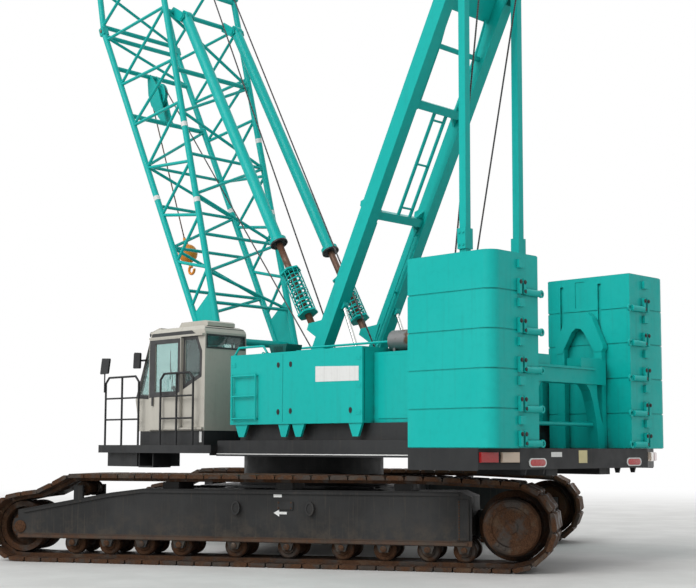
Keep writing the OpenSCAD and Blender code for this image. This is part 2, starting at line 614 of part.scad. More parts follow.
module stack() {
    difference() {
        union() {
            for (i = [0 : slab_count - 1])
                translate([0, 0, cw_bottom + i * slab_h]) {
                    linear_extrude(slab_h - fit)
                        slab_plan(cw_gap + slab_edge, cw_x - slab_edge, cw_front + slab_edge, cw_rear - slab_edge, cw_corner);
                    translate([0, 0, slab_edge]) linear_extrude(slab_h - fit - 2 * slab_edge)
                        slab_plan(cw_gap, cw_x, cw_front, cw_rear, cw_corner);
                }
        }
        // Slots down the inner side
        for (y = slot_at)
            block([cw_gap - 10, y - 28, cw_bottom + 60], [cw_gap + 32, y + 28, cw_bottom + slab_count * slab_h - 110]);
        block([cw_gap - 10, 4440, cw_bottom + (slab_count - 1) * slab_h + 60],
            [cw_gap + 10, 4600, cw_bottom + slab_count * slab_h - 60]);
    }
    // Coupling pins at the foot of each slab, with their eyes, and lugs above and below
    for (i = [0 : slab_count - 1]) {
        z = cw_bottom + i * slab_h + (i == 0 ? 60 : 0);
        cross_shaft(cw_gap + 8, 1430, coupler_y, z, 44);
        translate([cw_gap - 38, coupler_y + 12, z]) rotate([90, 0, 0]) difference() {
            cylinder(r = 52, h = 24);
            translate([0, 0, -1]) cylinder(r = 29, h = 26);
        }
        for (x = [1425, 1515]) block([x, cw_rear - 20, z - 35], [x + 45, cw_rear + 52, z + 165]);
        block([1440, cw_rear - 20, z + slab_h - 200 - (i == 0 ? 60 : 0)],
            [1560, cw_rear + 45, z + slab_h - 90 - (i == 0 ? 60 : 0)]);
    }
    // Lifting lugs on top
    for (y = [cw_front + 250, cw_rear - 300])
        side_plate((cw_gap + cw_x) / 2 - 20, (cw_gap + cw_x) / 2 + 20,
            [for (a = [0 : 30 : 180]) [y + 75 * cos(a), cw_bottom + slab_count * slab_h - 10 + 70 * sin(a)]]);
}
module counterweight_left() color(teal) stack();
module counterweight_right() color(teal) mirror([1, 0, 0]) stack();
// Lifting gear between the stacks: a beam on bowed legs, and at each stack a yoke over two links
hanger_y = [4850, 5000];
link_x = [985, 1095];
link_y = [4185, 4830];
link_len = 135;
module front_plate(points) translate([0, hanger_y[1], 0]) rotate([90, 0, 0])
    linear_extrude(hanger_y[1] - hanger_y[0]) polygon(points);
module hanger_frame() {
    color(teal) {
        both() {
            for (y = link_y) block([link_x[0], y, cw_bottom - fit], [link_x[1], y + link_len, 3150]);
            side_plate(link_x[0] - 8, link_x[1], [[4150, 3110], [4190, 3060], [4290, 3060], [4320, 3130], [4460, 3370],
                [4530, 3420], [4610, 3410], [4670, 3350], [4810, 3110], [4850, 3060], [4960, 3060], [5000, 3110], [4990, 3160],
                [4810, 3570], [4720, 3645], [4430, 3645], [4340, 3570], [4170, 3170]]);
            // Leg that bows out from the beam down to the tail
            front_plate([[430, 2700], [430, 2590], [540, 2560], [620, 2480], [690, 2330], [770, 2060], [830, cw_bottom - fit],
                [975, cw_bottom - fit], [975, 1900], [880, 2150], [810, 2400], [800, 2700]]);
            // Raised end of the beam
            block([370, hanger_y[0] - 59, 2700], [989, hanger_y[1] + 29, 2940]);
        }
        block([-990, hanger_y[0] - 60, 2570], [990, hanger_y[1] + 30, 2790]);
        block([-700, hanger_y[0] - 110, 2770], [700, hanger_y[1] + 60, 2800]);
        cross_shaft(-860, 860, (hanger_y[0] + hanger_y[1]) / 2, 2000, 28);
    }
}
lamp_turn = 180 - atan2(cw_rear - 5130, cw_x - 1520);
module lamps() {
    // On the slanting rear corners of the tail: a red lamp and a clear one side by side
    color([0.7, 0.1, 0.1]) both() translate([cw_x, 5130, 0]) rotate([0, 0, lamp_turn])
        for (x = [18, 322]) {
            block([x, -34, 1480], [x + 260, 0, 1610]);
            block([x + 8, -48, 1488], [x + 252, -33, 1602]);
        }
}

mast_head = [0, mast_foot_y + mast_len * cos(mast_angle), mast_foot_z + mast_len * sin(mast_angle)];
mast_pin_r = 60;
leg_in = mast_leg_x - mast_leg_w / 2;
leg_out = mast_leg_x + mast_leg_w / 2;
module gantry_mast() {
    color(teal) {
        in_mast() {
            both() block([leg_in, -mast_leg_d / 2, 0], [leg_out, mast_leg_d / 2, mast_len - 550]);
            // Fork at the head, with the links between its cheeks
            both() for (x = [leg_in, leg_out - 40])
                block([x, -mast_leg_d / 2, mast_len - 560], [x + 40, mast_leg_d / 2, mast_len + 120]);
            both() cross_shaft(leg_in, leg_out, 0, 0, 140);
            for (l = [3050, 4850]) {
                block([-leg_in - 1, -70, l], [leg_in + 1, 70, l + 130]);
                // Gussets at both ends of the cross member
                both() translate([leg_in + 1, 0, 0]) rotate([90, 0, 0]) translate([0, 0, -20]) linear_extrude(40)
                    polygon([[0, l - 130], [0, l + 270], [-150, l + 110], [-150, l + 20]]);
            }
            block([-leg_in - 1, -100, mast_len - 900], [leg_in + 1, -70, mast_len - 500]);
            // Eyes on the front of the legs, and a rail along each leg's inner side
            both() {
                side_plate(mast_leg_x - 15, mast_leg_x + 15, [[-mast_leg_d / 2 + 10, 3120], [-mast_leg_d / 2 - 110, 3150],
                    [-mast_leg_d / 2 - 130, 3220], [-mast_leg_d / 2 - 80, 3270], [-mast_leg_d / 2 + 10, 3290]]);
                for (l = [900, 1900, 2900]) block([leg_in - 60, 40, l], [leg_in + 1, 60, l + 30]);
                block([leg_in - 75, 35, 800], [leg_in - 58, 65, 3000]);
            }
            cross_shaft(-leg_out, leg_out, 0, mast_len, mast_pin_r);
        }
        // Cheeks for the backstop feet, on the front of the legs
        both() for (x = [600 - 85, 600 + 55])
            side_plate(x, x + 30, [[stop_foot[0] - 70, stop_foot[1] - 30], [stop_foot[0] - 30, stop_foot[1] + 70],
                [stop_foot[0] + 400, stop_foot[1] + 120], [stop_foot[0] + 260, stop_foot[1] - 230]]);
    }
}
link_w = 110;
link_low = 2060;
module gantry_links() {
    color(teal) both() difference() {
        union() {
            block([mast_leg_x - link_w / 2, mast_head[1] - 60, link_low - 50],
                [mast_leg_x + link_w / 2, mast_head[1] + 60, mast_head[2] + 60]);
            cross_shaft(mast_leg_x - link_w / 2, mast_leg_x + link_w / 2, mast_head[1], mast_head[2], 115);
            // Joint between the two lengths of link
            block([mast_leg_x - link_w / 2 - 30, mast_head[1] - 75, 4500],
                [mast_leg_x + link_w / 2 + 30, mast_head[1] + 75, 4800]);
        }
        cross_shaft(0, 2 * leg_out, mast_head[1], mast_head[2], mast_pin_r + run_fit);
    }
}
module mast_sheaves() {
    color(dark) in_mast() both() difference() {
        translate([455, 0, 0]) wheel(0, mast_len, sheave_half(250, 27));
        cross_shaft(400, 510, 0, mast_len, mast_pin_r + fit);
    }
}

function chord_depth(s) = 60 + (chord_v - 60) * s / base_len;
function base_at(s, sx, sv) = [sx * chord_x, sv * chord_depth(s), s];
module joint_lug(sx, sv, s) translate([sx * chord_x - 64, sv * chord_v - 64, s]) cube([128, 128, 80]);
// Lacing by its nodes along the boom: the sides, then the cross tubes and diagonals of the front and rear
side_nodes = [8300, 7840, 7190, 6750, 6230, 5900, 5250, 4730, 4200, 3700, 3200, 2720, 2260];
front_heavy = [8390, 7600, 6460];
front_light = [5290, 4400, 3500, 2600];
front_slants = [[8390, 7600], [6460, 5290], [5290, 4400], [4400, 3500], [3500, 2600], [2600, 2040]];
rear_heavy = [8390, 7750, 6550];
rear_light = [4880, 3350, 2080];
rear_slants = [[7750, 6550], [6550, 5700], [5700, 4880], [4880, 4100], [4100, 3350], [3350, 2650], [2650, 2080]];
heavy_r = 44;
module face_slants(list, sv)
    for (i = [0 : len(list) - 1])
        rod(base_at(list[i][0], i % 2 == 0 ? 1 : -1, sv), base_at(list[i][1], i % 2 == 0 ? -1 : 1, sv),
            lace_r - 1.3 * (i % 2), 8);
module boom_base() {
    color(teal) in_boom() difference() {
        union() {
            for (sx = [-1, 1], sv = [-1, 1]) {
                rod(base_at(60, sx, sv), base_at(base_len - 20, sx, sv), chord_r, 48);
                joint_lug(sx, sv, base_len - 80);
            }
            for (sx = [-1, 1]) {
                cross_shaft(sx * chord_x - foot_eye_w / 2, sx * chord_x + foot_eye_w / 2, 0, 0, foot_eye_r);
                side_plate(sx * chord_x - 15, sx * chord_x + 15, [[-chord_depth(0), 60], [chord_depth(0), 60],
                    [chord_depth(2300), 2300], [-chord_depth(2100), 2100]]);
                for (i = [0 : len(side_nodes) - 2])
                    rod(base_at(side_nodes[i], sx, i % 2 == 0 ? -1 : 1),
                        base_at(side_nodes[i + 1], sx, i % 2 == 0 ? 1 : -1), lace_r - 1.3 * (i % 2), 8);
            }
            for (l = front_heavy) rod(base_at(l, -1, -1), base_at(l, 1, -1), heavy_r, 12);
            for (l = rear_heavy) rod(base_at(l, -1, 1), base_at(l, 1, 1), heavy_r, 12);
            for (l = front_light) rod(base_at(l, -1, -1), base_at(l, 1, -1), lace_r, 8);
            for (l = rear_light) rod(base_at(l, -1, 1), base_at(l, 1, 1), lace_r, 8);
            face_slants(front_slants, -1);
            face_slants(rear_slants, 1);
            cross_shaft(-chord_x, chord_x, 0, 1500, 65);
            // Cheeks of the guide sheave, between two cross tubes of the front
            for (x = [-90, 60]) side_plate(x, x + 30, [[-690, 6430], [-775, 6430], [-990, 7020], [-1000, 7260],
                [-905, 7630], [-815, 7630], [-690, 7250]]);
            // Brackets and pins that carry the backstops behind the rear
            both() {
                for (x = [stop_x - 128, stop_x + 108])
                    side_plate(x, x + 20, [[stop_v + 70, stop_s + 30], [stop_v + 60, stop_s - 70], [stop_v - 60, stop_s - 80],
                        [chord_depth(7750) - 60, 7700], [chord_depth(7750) - 40, 7820], [chord_depth(7750) + 60, 7830]]);
                cross_shaft(stop_x - 140, stop_x + 140, stop_v, stop_s, 55);
            }
        }
        for (sx = [-1, 1])
            cross_shaft(sx * chord_x - 100, sx * chord_x + 100, 0, 0, foot_pin_r + fit);
    }
}
tip_sides = [8640, 9230, 9800, 10340, 10860, 11360, 11840, 12300, 12740, 13160, 13560, 13950, 14330, 14700, 15060, 15400];
tip_faces = [8640, 9500, 10300, 11060, 11780, 12460, 13100, 13710, 14290, 14840, 15360];
head_root = head_s - 500;
function tip_part(s) = (s - base_len) / (head_root - base_len);
function tip_at(s, sx, sv) = [sx * (chord_x + (tip_x - chord_x) * tip_part(s)),
    sv * (chord_v + (tip_v - chord_v) * tip_part(s)), s];
module boom_tip() {
    color(teal) in_boom() {
        for (sx = [-1, 1], sv = [-1, 1]) {
            rod(tip_at(base_len + 20, sx, sv), tip_at(head_from - 0.5, sx, sv), chord_r, 48);
            joint_lug(sx, sv, base_len);
        }
        for (sx = [-1, 1], i = [0 : len(tip_sides) - 2])
            rod(tip_at(tip_sides[i], sx, i % 2 == 0 ? -1 : 1),
                tip_at(tip_sides[i + 1], sx, i % 2 == 0 ? 1 : -1), lace_r, 8);
        for (sv = [-1, 1]) {
            for (i = [0 : len(tip_faces) - 2])
                rod(tip_at(tip_faces[i], i % 2 == 0 ? sv : -sv, sv),
                    tip_at(tip_faces[i + 1], i % 2 == 0 ? -sv : sv, sv), lace_r, 8);
            for (l = [8620, 15480]) rod(tip_at(l, -1, sv), tip_at(l, 1, sv), heavy_r, 12);
            for (l = [11100, 13200]) rod(tip_at(l, -1, sv), tip_at(l, 1, sv), lace_r, 8);
        }
    }
}
head_from = head_root - 720;
module boom_head() {
    color(teal) in_boom() {
        for (sx = [-1, 1], sv = [-1, 1])
            rod(tip_at(head_from, sx, sv), tip_at(head_root - 60, sx, sv), chord_r, 48);
        // Plates carry the sheaves' axle ahead of the chords
        for (sx = [-1, 1])
            translate([sx * tip_x - 20, 0, 0]) rotate([90, 0, 90]) linear_extrude(40)
                polygon([[-tip_v - 50, head_root - 700], [tip_v - 30, head_root - 500],
                    [tip_v + 190, head_root - 60], [tip_v + 170, head_root + 70], [tip_v - 60, head_s + 60],
                    [head_v + 60, head_s + 150], [head_v - 110, head_s + 60], [head_v - 110, head_s - 60]]);
        block([-tip_x, -tip_v + 80, head_root - 260], [tip_x, tip_v - 80, head_root - 220]);
        cross_shaft(-tip_x, tip_x, head_v, head_s, 60);
        // Shaft ends that the pendants' eyes stand beside
        cross_shaft(-pendant_x + 35.3, pendant_x - 35.3, tip_v + 100, head_root, 55);
    }
}
guide_s = 7150;
guide_r = 250;
module guide_sheave() {
    color(teal) in_boom() wheel(-chord_depth(guide_s), guide_s, concat([[42, 59.7]], sheave_half(guide_r, 32)));
}
hoist_x = [-300, -130, 130, 300];
module head_sheaves() {
    color(dark) in_boom() difference() {
        for (x = hoist_x) translate([x, 0, 0]) wheel(head_v, head_s, sheave_half(sheave_r, 32));
        cross_shaft(-tip_x, tip_x, head_v, head_s, 60 + run_fit);
    }
}

// Backstops: the tube hangs on the boom, the rod slides in it towards its foot on the mast
stop_x = 600;
stop_v = 1060;
stop_s = 7540;
stop_foot = [600, 3574];
stop_top = [-boom_foot_y - stop_s * cos(boom_angle) + stop_v * sin(boom_angle),
    boom_foot_z + stop_s * sin(boom_angle) + stop_v * cos(boom_angle)];
stop_len = norm(stop_foot - stop_top);
stop_tube = stop_len - 1700;
stop_tilt = atan2(stop_foot[1] - stop_top[1], stop_foot[0] - stop_top[0]);
module in_stop() translate([stop_x, stop_top[0], stop_top[1]]) rotate([stop_tilt - 90, 0, 0]) children();
module backstop_tubes() {
    color(teal) both() in_stop() difference() {
        union() {
            cylinder(r = backstop_r, h = stop_tube);
            cross_shaft(-60, 60, 0, 0, 110);
            translate([0, 0, stop_tube - 60]) cylinder(r = backstop_r + 45, h = 60);
        }
        cross_shaft(-130, 130, 0, 0, 55 + run_fit);
        translate([0, 0, 900]) cylinder(r = backstop_rod_r + 0.3, h = stop_len);
    }
}
module backstop_rods() {
    color(rust) both() in_stop() {
        translate([0, 0, 2600]) cylinder(r = backstop_rod_r, h = stop_len - 2600);
        cross_shaft(-45, 45, 0, stop_len, 75);
    }
}
spring_top = stop_len - 1120;
spring_end = stop_len - 260;
coil_turns = 10;
coil_in = 100;
coil_out = 128;
plate_t = 30;
coil_low = spring_top + plate_t - 1;
coil_pitch = (spring_end - spring_top - 2 * plate_t + 2) / coil_turns;
// Coil between two six-sided plates, with the cage's bars round it
module backstop_springs() {
    color(teal) both() in_stop() difference() {
        union() {
            rotate_extrude() polygon(concat([[backstop_rod_r + 6, coil_low]],
                [for (i = [0 : coil_turns - 1], q = [[coil_in, 0.02], [coil_out, 0.22], [coil_out, 0.55], [coil_in, 0.75]])
                    [q[0], coil_low + (i + q[1]) * coil_pitch]],
                [[coil_in, coil_low + coil_turns * coil_pitch], [backstop_rod_r + 6, coil_low + coil_turns * coil_pitch]]));
            for (l = [spring_top, spring_end - plate_t])
                translate([0, 0, l]) rotate([0, 0, 30]) cylinder(r = 178, h = plate_t, $fn = 6);
            for (a = [0 : 30 : 330])
                rotate([0, 0, a]) translate([0, 148, spring_top + 1]) cylinder(r = 7, h = spring_end - spring_top - 2, $fn = 6);
        }
        translate([0, 0, spring_top - 10]) cylinder(r = backstop_rod_r + 0.3, h = spring_end - spring_top + 20);
    }
}

// Stays: a sheave block swivels on the mast head, the floating block and its pendants slide out of it
pendant_x = 620;
stay_end = [-boom_foot_y - head_root * cos(boom_angle) + (tip_v + 100) * sin(boom_angle),
    boom_foot_z + head_root * sin(boom_angle) + (tip_v + 100) * cos(boom_angle)];
stay_vec = stay_end - [mast_head[1], mast_head[2]];
stay_len = norm(stay_vec);
stay_tilt = atan2(stay_vec[1], stay_vec[0]);
module in_stay() translate(mast_head) rotate([stay_tilt - 90, 0, 0]) children();
stay_sheave_r = 200;
module stay_block() {
    color(dark) in_stay() difference() {
        union() {
            for (x = [-360, 330]) translate([x, 0, 0]) rotate([90, 0, 90]) linear_extrude(30)
                polygon([[-120, -130], [120, -130], [160, 600], [90, 800], [-90, 800], [-160, 600]]);
            cross_shaft(-360, 360, 0, 650, 50);
            for (x = [-250 : 100 : 250]) translate([x, 0, 0]) wheel(0, 650, sheave_half(stay_sheave_r, 27));
        }
        cross_shaft(-400, 400, 0, 0, mast_pin_r + run_fit);
    }
}
float_at = 3400;
module pendants() {
    color(dark) in_stay() {
        for (x = [-360, 330]) side_plate(x, x + 30, [[-120, float_at - 60], [-60, float_at - 130], [60, float_at - 130],
            [120, float_at - 60], [100, float_at + 370], [-100, float_at + 370]]);
        cross_shaft(-360, 360, 0, float_at, 50);
        for (x = [-250 : 100 : 250]) translate([x, 0, 0]) wheel(0, float_at, sheave_half(stay_sheave_r, 27));
        cross_shaft(-pendant_x - 45, pendant_x + 45, 0, float_at + 300, 60);
        both() {
            translate([pendant_x, 0, float_at + 310]) cylinder(r = 28, h = stay_len - float_at - 350);
            cross_shaft(pendant_x - 35, pendant_x + 35, 0, stay_len, 85);
        }
    }
}

head_y = -boom_foot_y - head_s * cos(boom_angle) + head_v * sin(boom_angle);
head_z = boom_foot_z + head_s * sin(boom_angle) + head_v * cos(boom_angle);
module at_head() translate([0, head_y, head_z]) children();
hanger_x = 65;
fall_r = 13;
fall_x = [-130, 130];
module hook_hanger() {
    color(dark) at_head() difference() {
        union() {
            for (x = [-hanger_x, hanger_x - 25]) {
                cross_shaft(x, x + 25, 0, 0, 110);
                side_plate(x, x + 25, [[-105, -20], [105, -20], [60, -520], [-60, -520]]);
            }
            block([-hanger_x, -40, -520], [hanger_x, 40, -440]);
        }
        cross_shaft(-130, 130, 0, 0, 60 + run_fit);
    }
}
module hook_block() {
    color("orange") at_head() translate([0, 0, -hook_drop]) {
        for (x = [-230, -20, 190])
            side_plate(x, x + 40, [[-130, 290], [130, 290], [225, 120], [225, -140], [120, -470], [-120, -470], [-225, -140],
                [-225, 120]]);
        cross_shaft(-245, 245, 0, 0, 60);
        for (x = fall_x) translate([x, 0, 0]) wheel(0, 0, sheave_half(sheave_r, 40));
        // Crosshead, shank and hook
        block([-245, -85, -560], [245, 85, -450]);
        translate([0, 0, -800]) cylinder(r = 62, h = 300);
        translate([0, 0, -940]) rotate([0, 90, 0]) rotate([0, 0, 165]) rotate_extrude(angle = 275)
            translate([150, 0]) circle(r = 56);
    }
}
// Parts of line between the head and the hook block, in the sheaves' grooves
fall_y = sheave_r - groove + fall_r + 0.2;
module hook_falls() {
    color(steel) at_head()
        for (x = fall_x, y = [-fall_y, fall_y])
            translate([x, y, -hook_drop]) cylinder(r = fall_r, h = hook_drop);
}
ball_s = 3800;
ball_rope_r = 12;
ball_v = -chord_depth(guide_s) - guide_r + groove - ball_rope_r - 0.2;
module overhaul_ball() {
    color("orange") in_boom() {
        translate([0, ball_v, ball_s]) sphere(r = 180);
        // Rope that runs up into the groove of the guide sheave
        translate([0, ball_v, ball_s]) cylinder(r = ball_rope_r, h = guide_s - ball_s);
        translate([0, ball_v, ball_s + 150]) cylinder(r1 = 60, r2 = 22, h = 190);
        translate([0, ball_v, ball_s - 290]) cylinder(r = 38, h = 160);
        translate([0, ball_v, ball_s - 340]) rotate([0, 90, 0]) rotate([0, 0, 165]) rotate_extrude(angle = 275)
            translate([75, 0]) circle(r = 25);
    }
}

carbody();
slew_ring();
track_frame(1);  // track_frame_l
track_frame(-1);  // track_frame_r
track(1);  // track_l
track(-1);  // track_r
sprocket(1);  // sprocket_l
sprocket(-1);  // sprocket_r
idler(1);  // idler_l
idler(-1);  // idler_r
rollers(1);  // rollers_l
rollers(-1);  // rollers_r
main_frame();
cab_platform();
platform_rails();
cab_shell();
cab_glass();
cab_seat();
cab_door();
door_glass();
mirrors();
house_left();
house_left_door_front();
house_left_door_rear();
house_right();
house_right_door_front();
house_right_door_rear();
house_rails();
engine_block();
exhaust();
winch_drums();
tail_frame();
counterweight_left();
counterweight_right();
hanger_frame();
lamps();
gantry_mast();
gantry_links();
mast_sheaves();
boom_base();
boom_tip();
boom_head();
guide_sheave();
head_sheaves();
backstop_tubes();
backstop_rods();
backstop_springs();
stay_block();
pendants();
hook_hanger();
hook_block();
hook_falls();
overhaul_ball();
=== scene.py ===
import json
import math

import bmesh
import bpy
from mathutils import Matrix, Vector


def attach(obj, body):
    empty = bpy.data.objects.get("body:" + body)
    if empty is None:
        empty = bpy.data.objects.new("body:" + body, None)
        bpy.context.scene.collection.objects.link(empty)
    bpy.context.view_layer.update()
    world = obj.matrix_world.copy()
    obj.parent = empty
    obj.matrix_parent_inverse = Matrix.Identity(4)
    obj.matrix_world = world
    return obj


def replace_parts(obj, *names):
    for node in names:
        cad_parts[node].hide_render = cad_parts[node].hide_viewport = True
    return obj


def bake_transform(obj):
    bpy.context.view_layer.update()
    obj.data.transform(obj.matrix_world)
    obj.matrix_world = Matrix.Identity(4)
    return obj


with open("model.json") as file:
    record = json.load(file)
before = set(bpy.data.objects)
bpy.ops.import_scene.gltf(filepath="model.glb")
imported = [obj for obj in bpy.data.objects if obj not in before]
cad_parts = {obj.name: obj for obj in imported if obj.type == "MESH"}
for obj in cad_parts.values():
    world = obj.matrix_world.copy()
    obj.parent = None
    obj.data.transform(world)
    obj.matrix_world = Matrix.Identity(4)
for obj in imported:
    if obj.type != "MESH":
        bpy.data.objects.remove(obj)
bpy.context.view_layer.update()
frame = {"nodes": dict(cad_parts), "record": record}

# Places that part.scad gives, in metres: s runs up the boom, v across its depth
BOOM_FOOT = Vector((0, -1.10, 2.10))
BOOM_ANGLE = math.radians(69)
BASE_LEN = 8.5
CHORD_X, CHORD_FOOT_V, CHORD_RISE = 0.88, 0.06, 0.89
HEAD_S, HEAD_V = 16.8, -0.75
ROOT_S, STAY_V = 16.3, 0.43
GUIDE_S, GUIDE_V = 7.15, -0.8086
BALL_TOP_S = 4.13
MAST_FOOT = Vector((0, 0.45, 2.50))
MAST_ANGLE = math.radians(63)
MAST_LEN = 7.29
FLOAT_AT = 3.4
STOP_X, STOP_V, STOP_S = 0.60, 1.06, 7.54
STOP_FOOT = Vector((STOP_X, 0.60, 3.574))
TRACK_YAW = math.radians(31)
HALF_GAUGE = 2.77
HALF_SPAN = 3.61
SPROCKET_Z, IDLER_Z = 0.61, 0.50
ROLLERS = (-2.78, -2.24, -1.70, -1.13, -0.31, 0.47, 1.25, 1.85, 2.46, 2.96)
ROLLER_Z = 0.2705
CAB_X, CAB_W, CAB_REAR = 1.88, 0.86, -0.56
CAB_FLOOR_Z, CAB_ROOF_Z, CAB_WALL = 1.96, 3.585, 0.03
HOUSE_X = 1.90
TAIL_REAR = 5.37
DRUM_Y, DRUM_Z = (1.20, 2.05, 2.90), 2.29

# Radius at which a turned form that is closed at its middle starts
CORE = 0.001
# How far the back of a plate lies inside the face behind it
SUNK = 0.0005


def lean(origin, angle):
    """Local z runs along a leaning part, angle above +y, and local y is at right angles to it."""
    return Matrix.Translation(origin) @ Matrix.Rotation(angle - math.pi / 2, 4, "X")


def direction(vector):
    return math.atan2(vector.z, vector.y)


IN_BOOM = lean(BOOM_FOOT, math.pi - BOOM_ANGLE)
IN_MAST = lean(MAST_FOOT, MAST_ANGLE)
IN_TRACKS = Matrix.Rotation(TRACK_YAW, 4, "Z")
MAST_HEAD = IN_MAST @ Vector((0, 0, MAST_LEN))
HEAD = IN_BOOM @ Vector((0, HEAD_V, HEAD_S))
HEAD_GUIDE = IN_BOOM @ Vector((0, STAY_V, ROOT_S))
IN_STAY = lean(MAST_HEAD, direction(HEAD_GUIDE - MAST_HEAD))
STOP_TOP = IN_BOOM @ Vector((STOP_X, STOP_V, STOP_S))
STOP_LEN = (STOP_FOOT - STOP_TOP).length


def in_stop(side):
    """Local z runs down a backstop, from its pin on the boom to its foot."""
    return lean(Vector((side * STOP_X, STOP_TOP.y, STOP_TOP.z)), direction(STOP_FOOT - STOP_TOP))


def at_track(side):
    """Outer side of a track is +x here."""
    across = Matrix.Translation((side * HALF_GAUGE, 0, 0)) @ Matrix.Diagonal((side, 1, 1, 1))
    return IN_TRACKS @ across


def chord(s, sx, sv):
    """A point on a chord of the boom's base, s metres from its foot."""
    return Vector((sx * CHORD_X, sv * (CHORD_FOOT_V + CHORD_RISE * s / BASE_LEN), s))


# Materials
# Brown for dust, and for painted shade in the corners of paint
DUST_AND_SHADE = (0.13, 0.105, 0.08)
CHIP_RUST = (0.13, 0.055, 0.025)
# Near black for painted shade in the crevices of steel, with scale
CREVICE_SHADE_AND_SCALE = (0.022, 0.016, 0.012)
DRY_MUD = (0.115, 0.080, 0.052)
ROPE_GREASE = (0.07, 0.04, 0.025)
# Painted shade on the inner faces of the cab's shell
CAB_INSIDE_SHADE = (0.10, 0.105, 0.105)
FLANGE_RUST = (0.085, 0.040, 0.020)
BARE_ROPE = (0.03, 0.03, 0.032)
# A point (y, z) on each pane line of the cab's front, and its slope
CAB_FRONT_UPPER = (-2.40, 2.46, 0.388)
CAB_FRONT_LOWER = (-2.28, 1.93, -0.226)
LENS_SPLIT_X = 1.80


class Graph:
    """A node material, built by calls."""

    def __init__(self, name):
        self.mat = bpy.data.materials.new(name)
        self.mat.use_nodes = True
        self.tree = self.mat.node_tree
        self.bsdf = self.tree.nodes["Principled BSDF"]
        self.at = self.add("ShaderNodeTexCoord").outputs["Object"]
        self.normal = None

    def add(self, kind, **values):
        node = self.tree.nodes.new(kind)
        for key, value in values.items():
            setattr(node, key, value)
        return node

    def put(self, socket, value):
        """Links an output to the socket, or sets its value; a colour of three gets its alpha."""
        if isinstance(value, bpy.types.NodeSocket):
            self.tree.links.new(value, socket)
        elif (hasattr(socket.default_value, "__len__")
              and len(value) == 3 and len(socket.default_value) == 4):
            socket.default_value = (*value, 1)
        else:
            socket.default_value = value

    def stretch(self, scale):
        node = self.add("ShaderNodeMapping")
        self.put(node.inputs["Vector"], self.at)
        node.inputs["Scale"].default_value = scale
        return node.outputs[0]

    def noise(self, scale, detail=4, vector=None, rough=0.55):
        node = self.add("ShaderNodeTexNoise")
        self.put(node.inputs["Vector"], vector or self.at)
        for key, value in (("Scale", scale), ("Detail", detail), ("Roughness", rough)):
            node.inputs[key].default_value = value
        return node.outputs["Fac"]

    def fit(self, value, low, high, to_low=0.0, to_high=1.0):
        node = self.add("ShaderNodeMapRange", interpolation_type="SMOOTHSTEP")
        for key, v in (("Value", value), ("From Min", low), ("From Max", high),
                       ("To Min", to_low), ("To Max", to_high)):
            self.put(node.inputs[key], v)
        return node.outputs["Result"]

    def calc(self, operation, a, b=0.0):
        node = self.add("ShaderNodeMath", operation=operation)
        self.put(node.inputs[0], a)
        self.put(node.inputs[1], b)
        return node.outputs[0]

    def mix(self, share, a, b):
        node = self.add("ShaderNodeMix", data_type="RGBA")
        self.put(node.inputs["Factor"], share)
        self.put(node.inputs["A"], a)
        self.put(node.inputs["B"], b)
        return node.outputs["Result"]

    def split(self, vector=None):
        node = self.add("ShaderNodeSeparateXYZ")
        self.put(node.inputs[0], vector or self.at)
        return node.outputs

    def bump(self, height, strength, distance):
        """Each bump is laid on the one before."""
        node = self.add("ShaderNodeBump")
        node.inputs["Strength"].default_value = strength
        node.inputs["Distance"].default_value = distance
        self.put(node.inputs["Height"], height)
        if self.normal:
            self.put(node.inputs["Normal"], self.normal)
        self.normal = node.outputs[0]

    def occlusion_shade(self, reach):
        """Ambient occlusion as a mask for painted shade: 1 deep in a corner, 0 on an open face.
        """
        node = self.add("ShaderNodeAmbientOcclusion", samples=6)
        node.inputs["Distance"].default_value = reach
        return self.calc("SUBTRACT", 1.0, node.outputs["AO"])

    def done(self, colour, rough, metal=0.0, **sockets):
        self.put(self.bsdf.inputs["Base Color"], colour)
        self.put(self.bsdf.inputs["Roughness"], rough)
        self.put(self.bsdf.inputs["Metallic"], metal)
        for key, value in sockets.items():
            self.put(self.bsdf.inputs[key.replace("_", " ")], value)
        if self.normal:
            self.put(self.bsdf.inputs["Normal"], self.normal)
        return self.mat


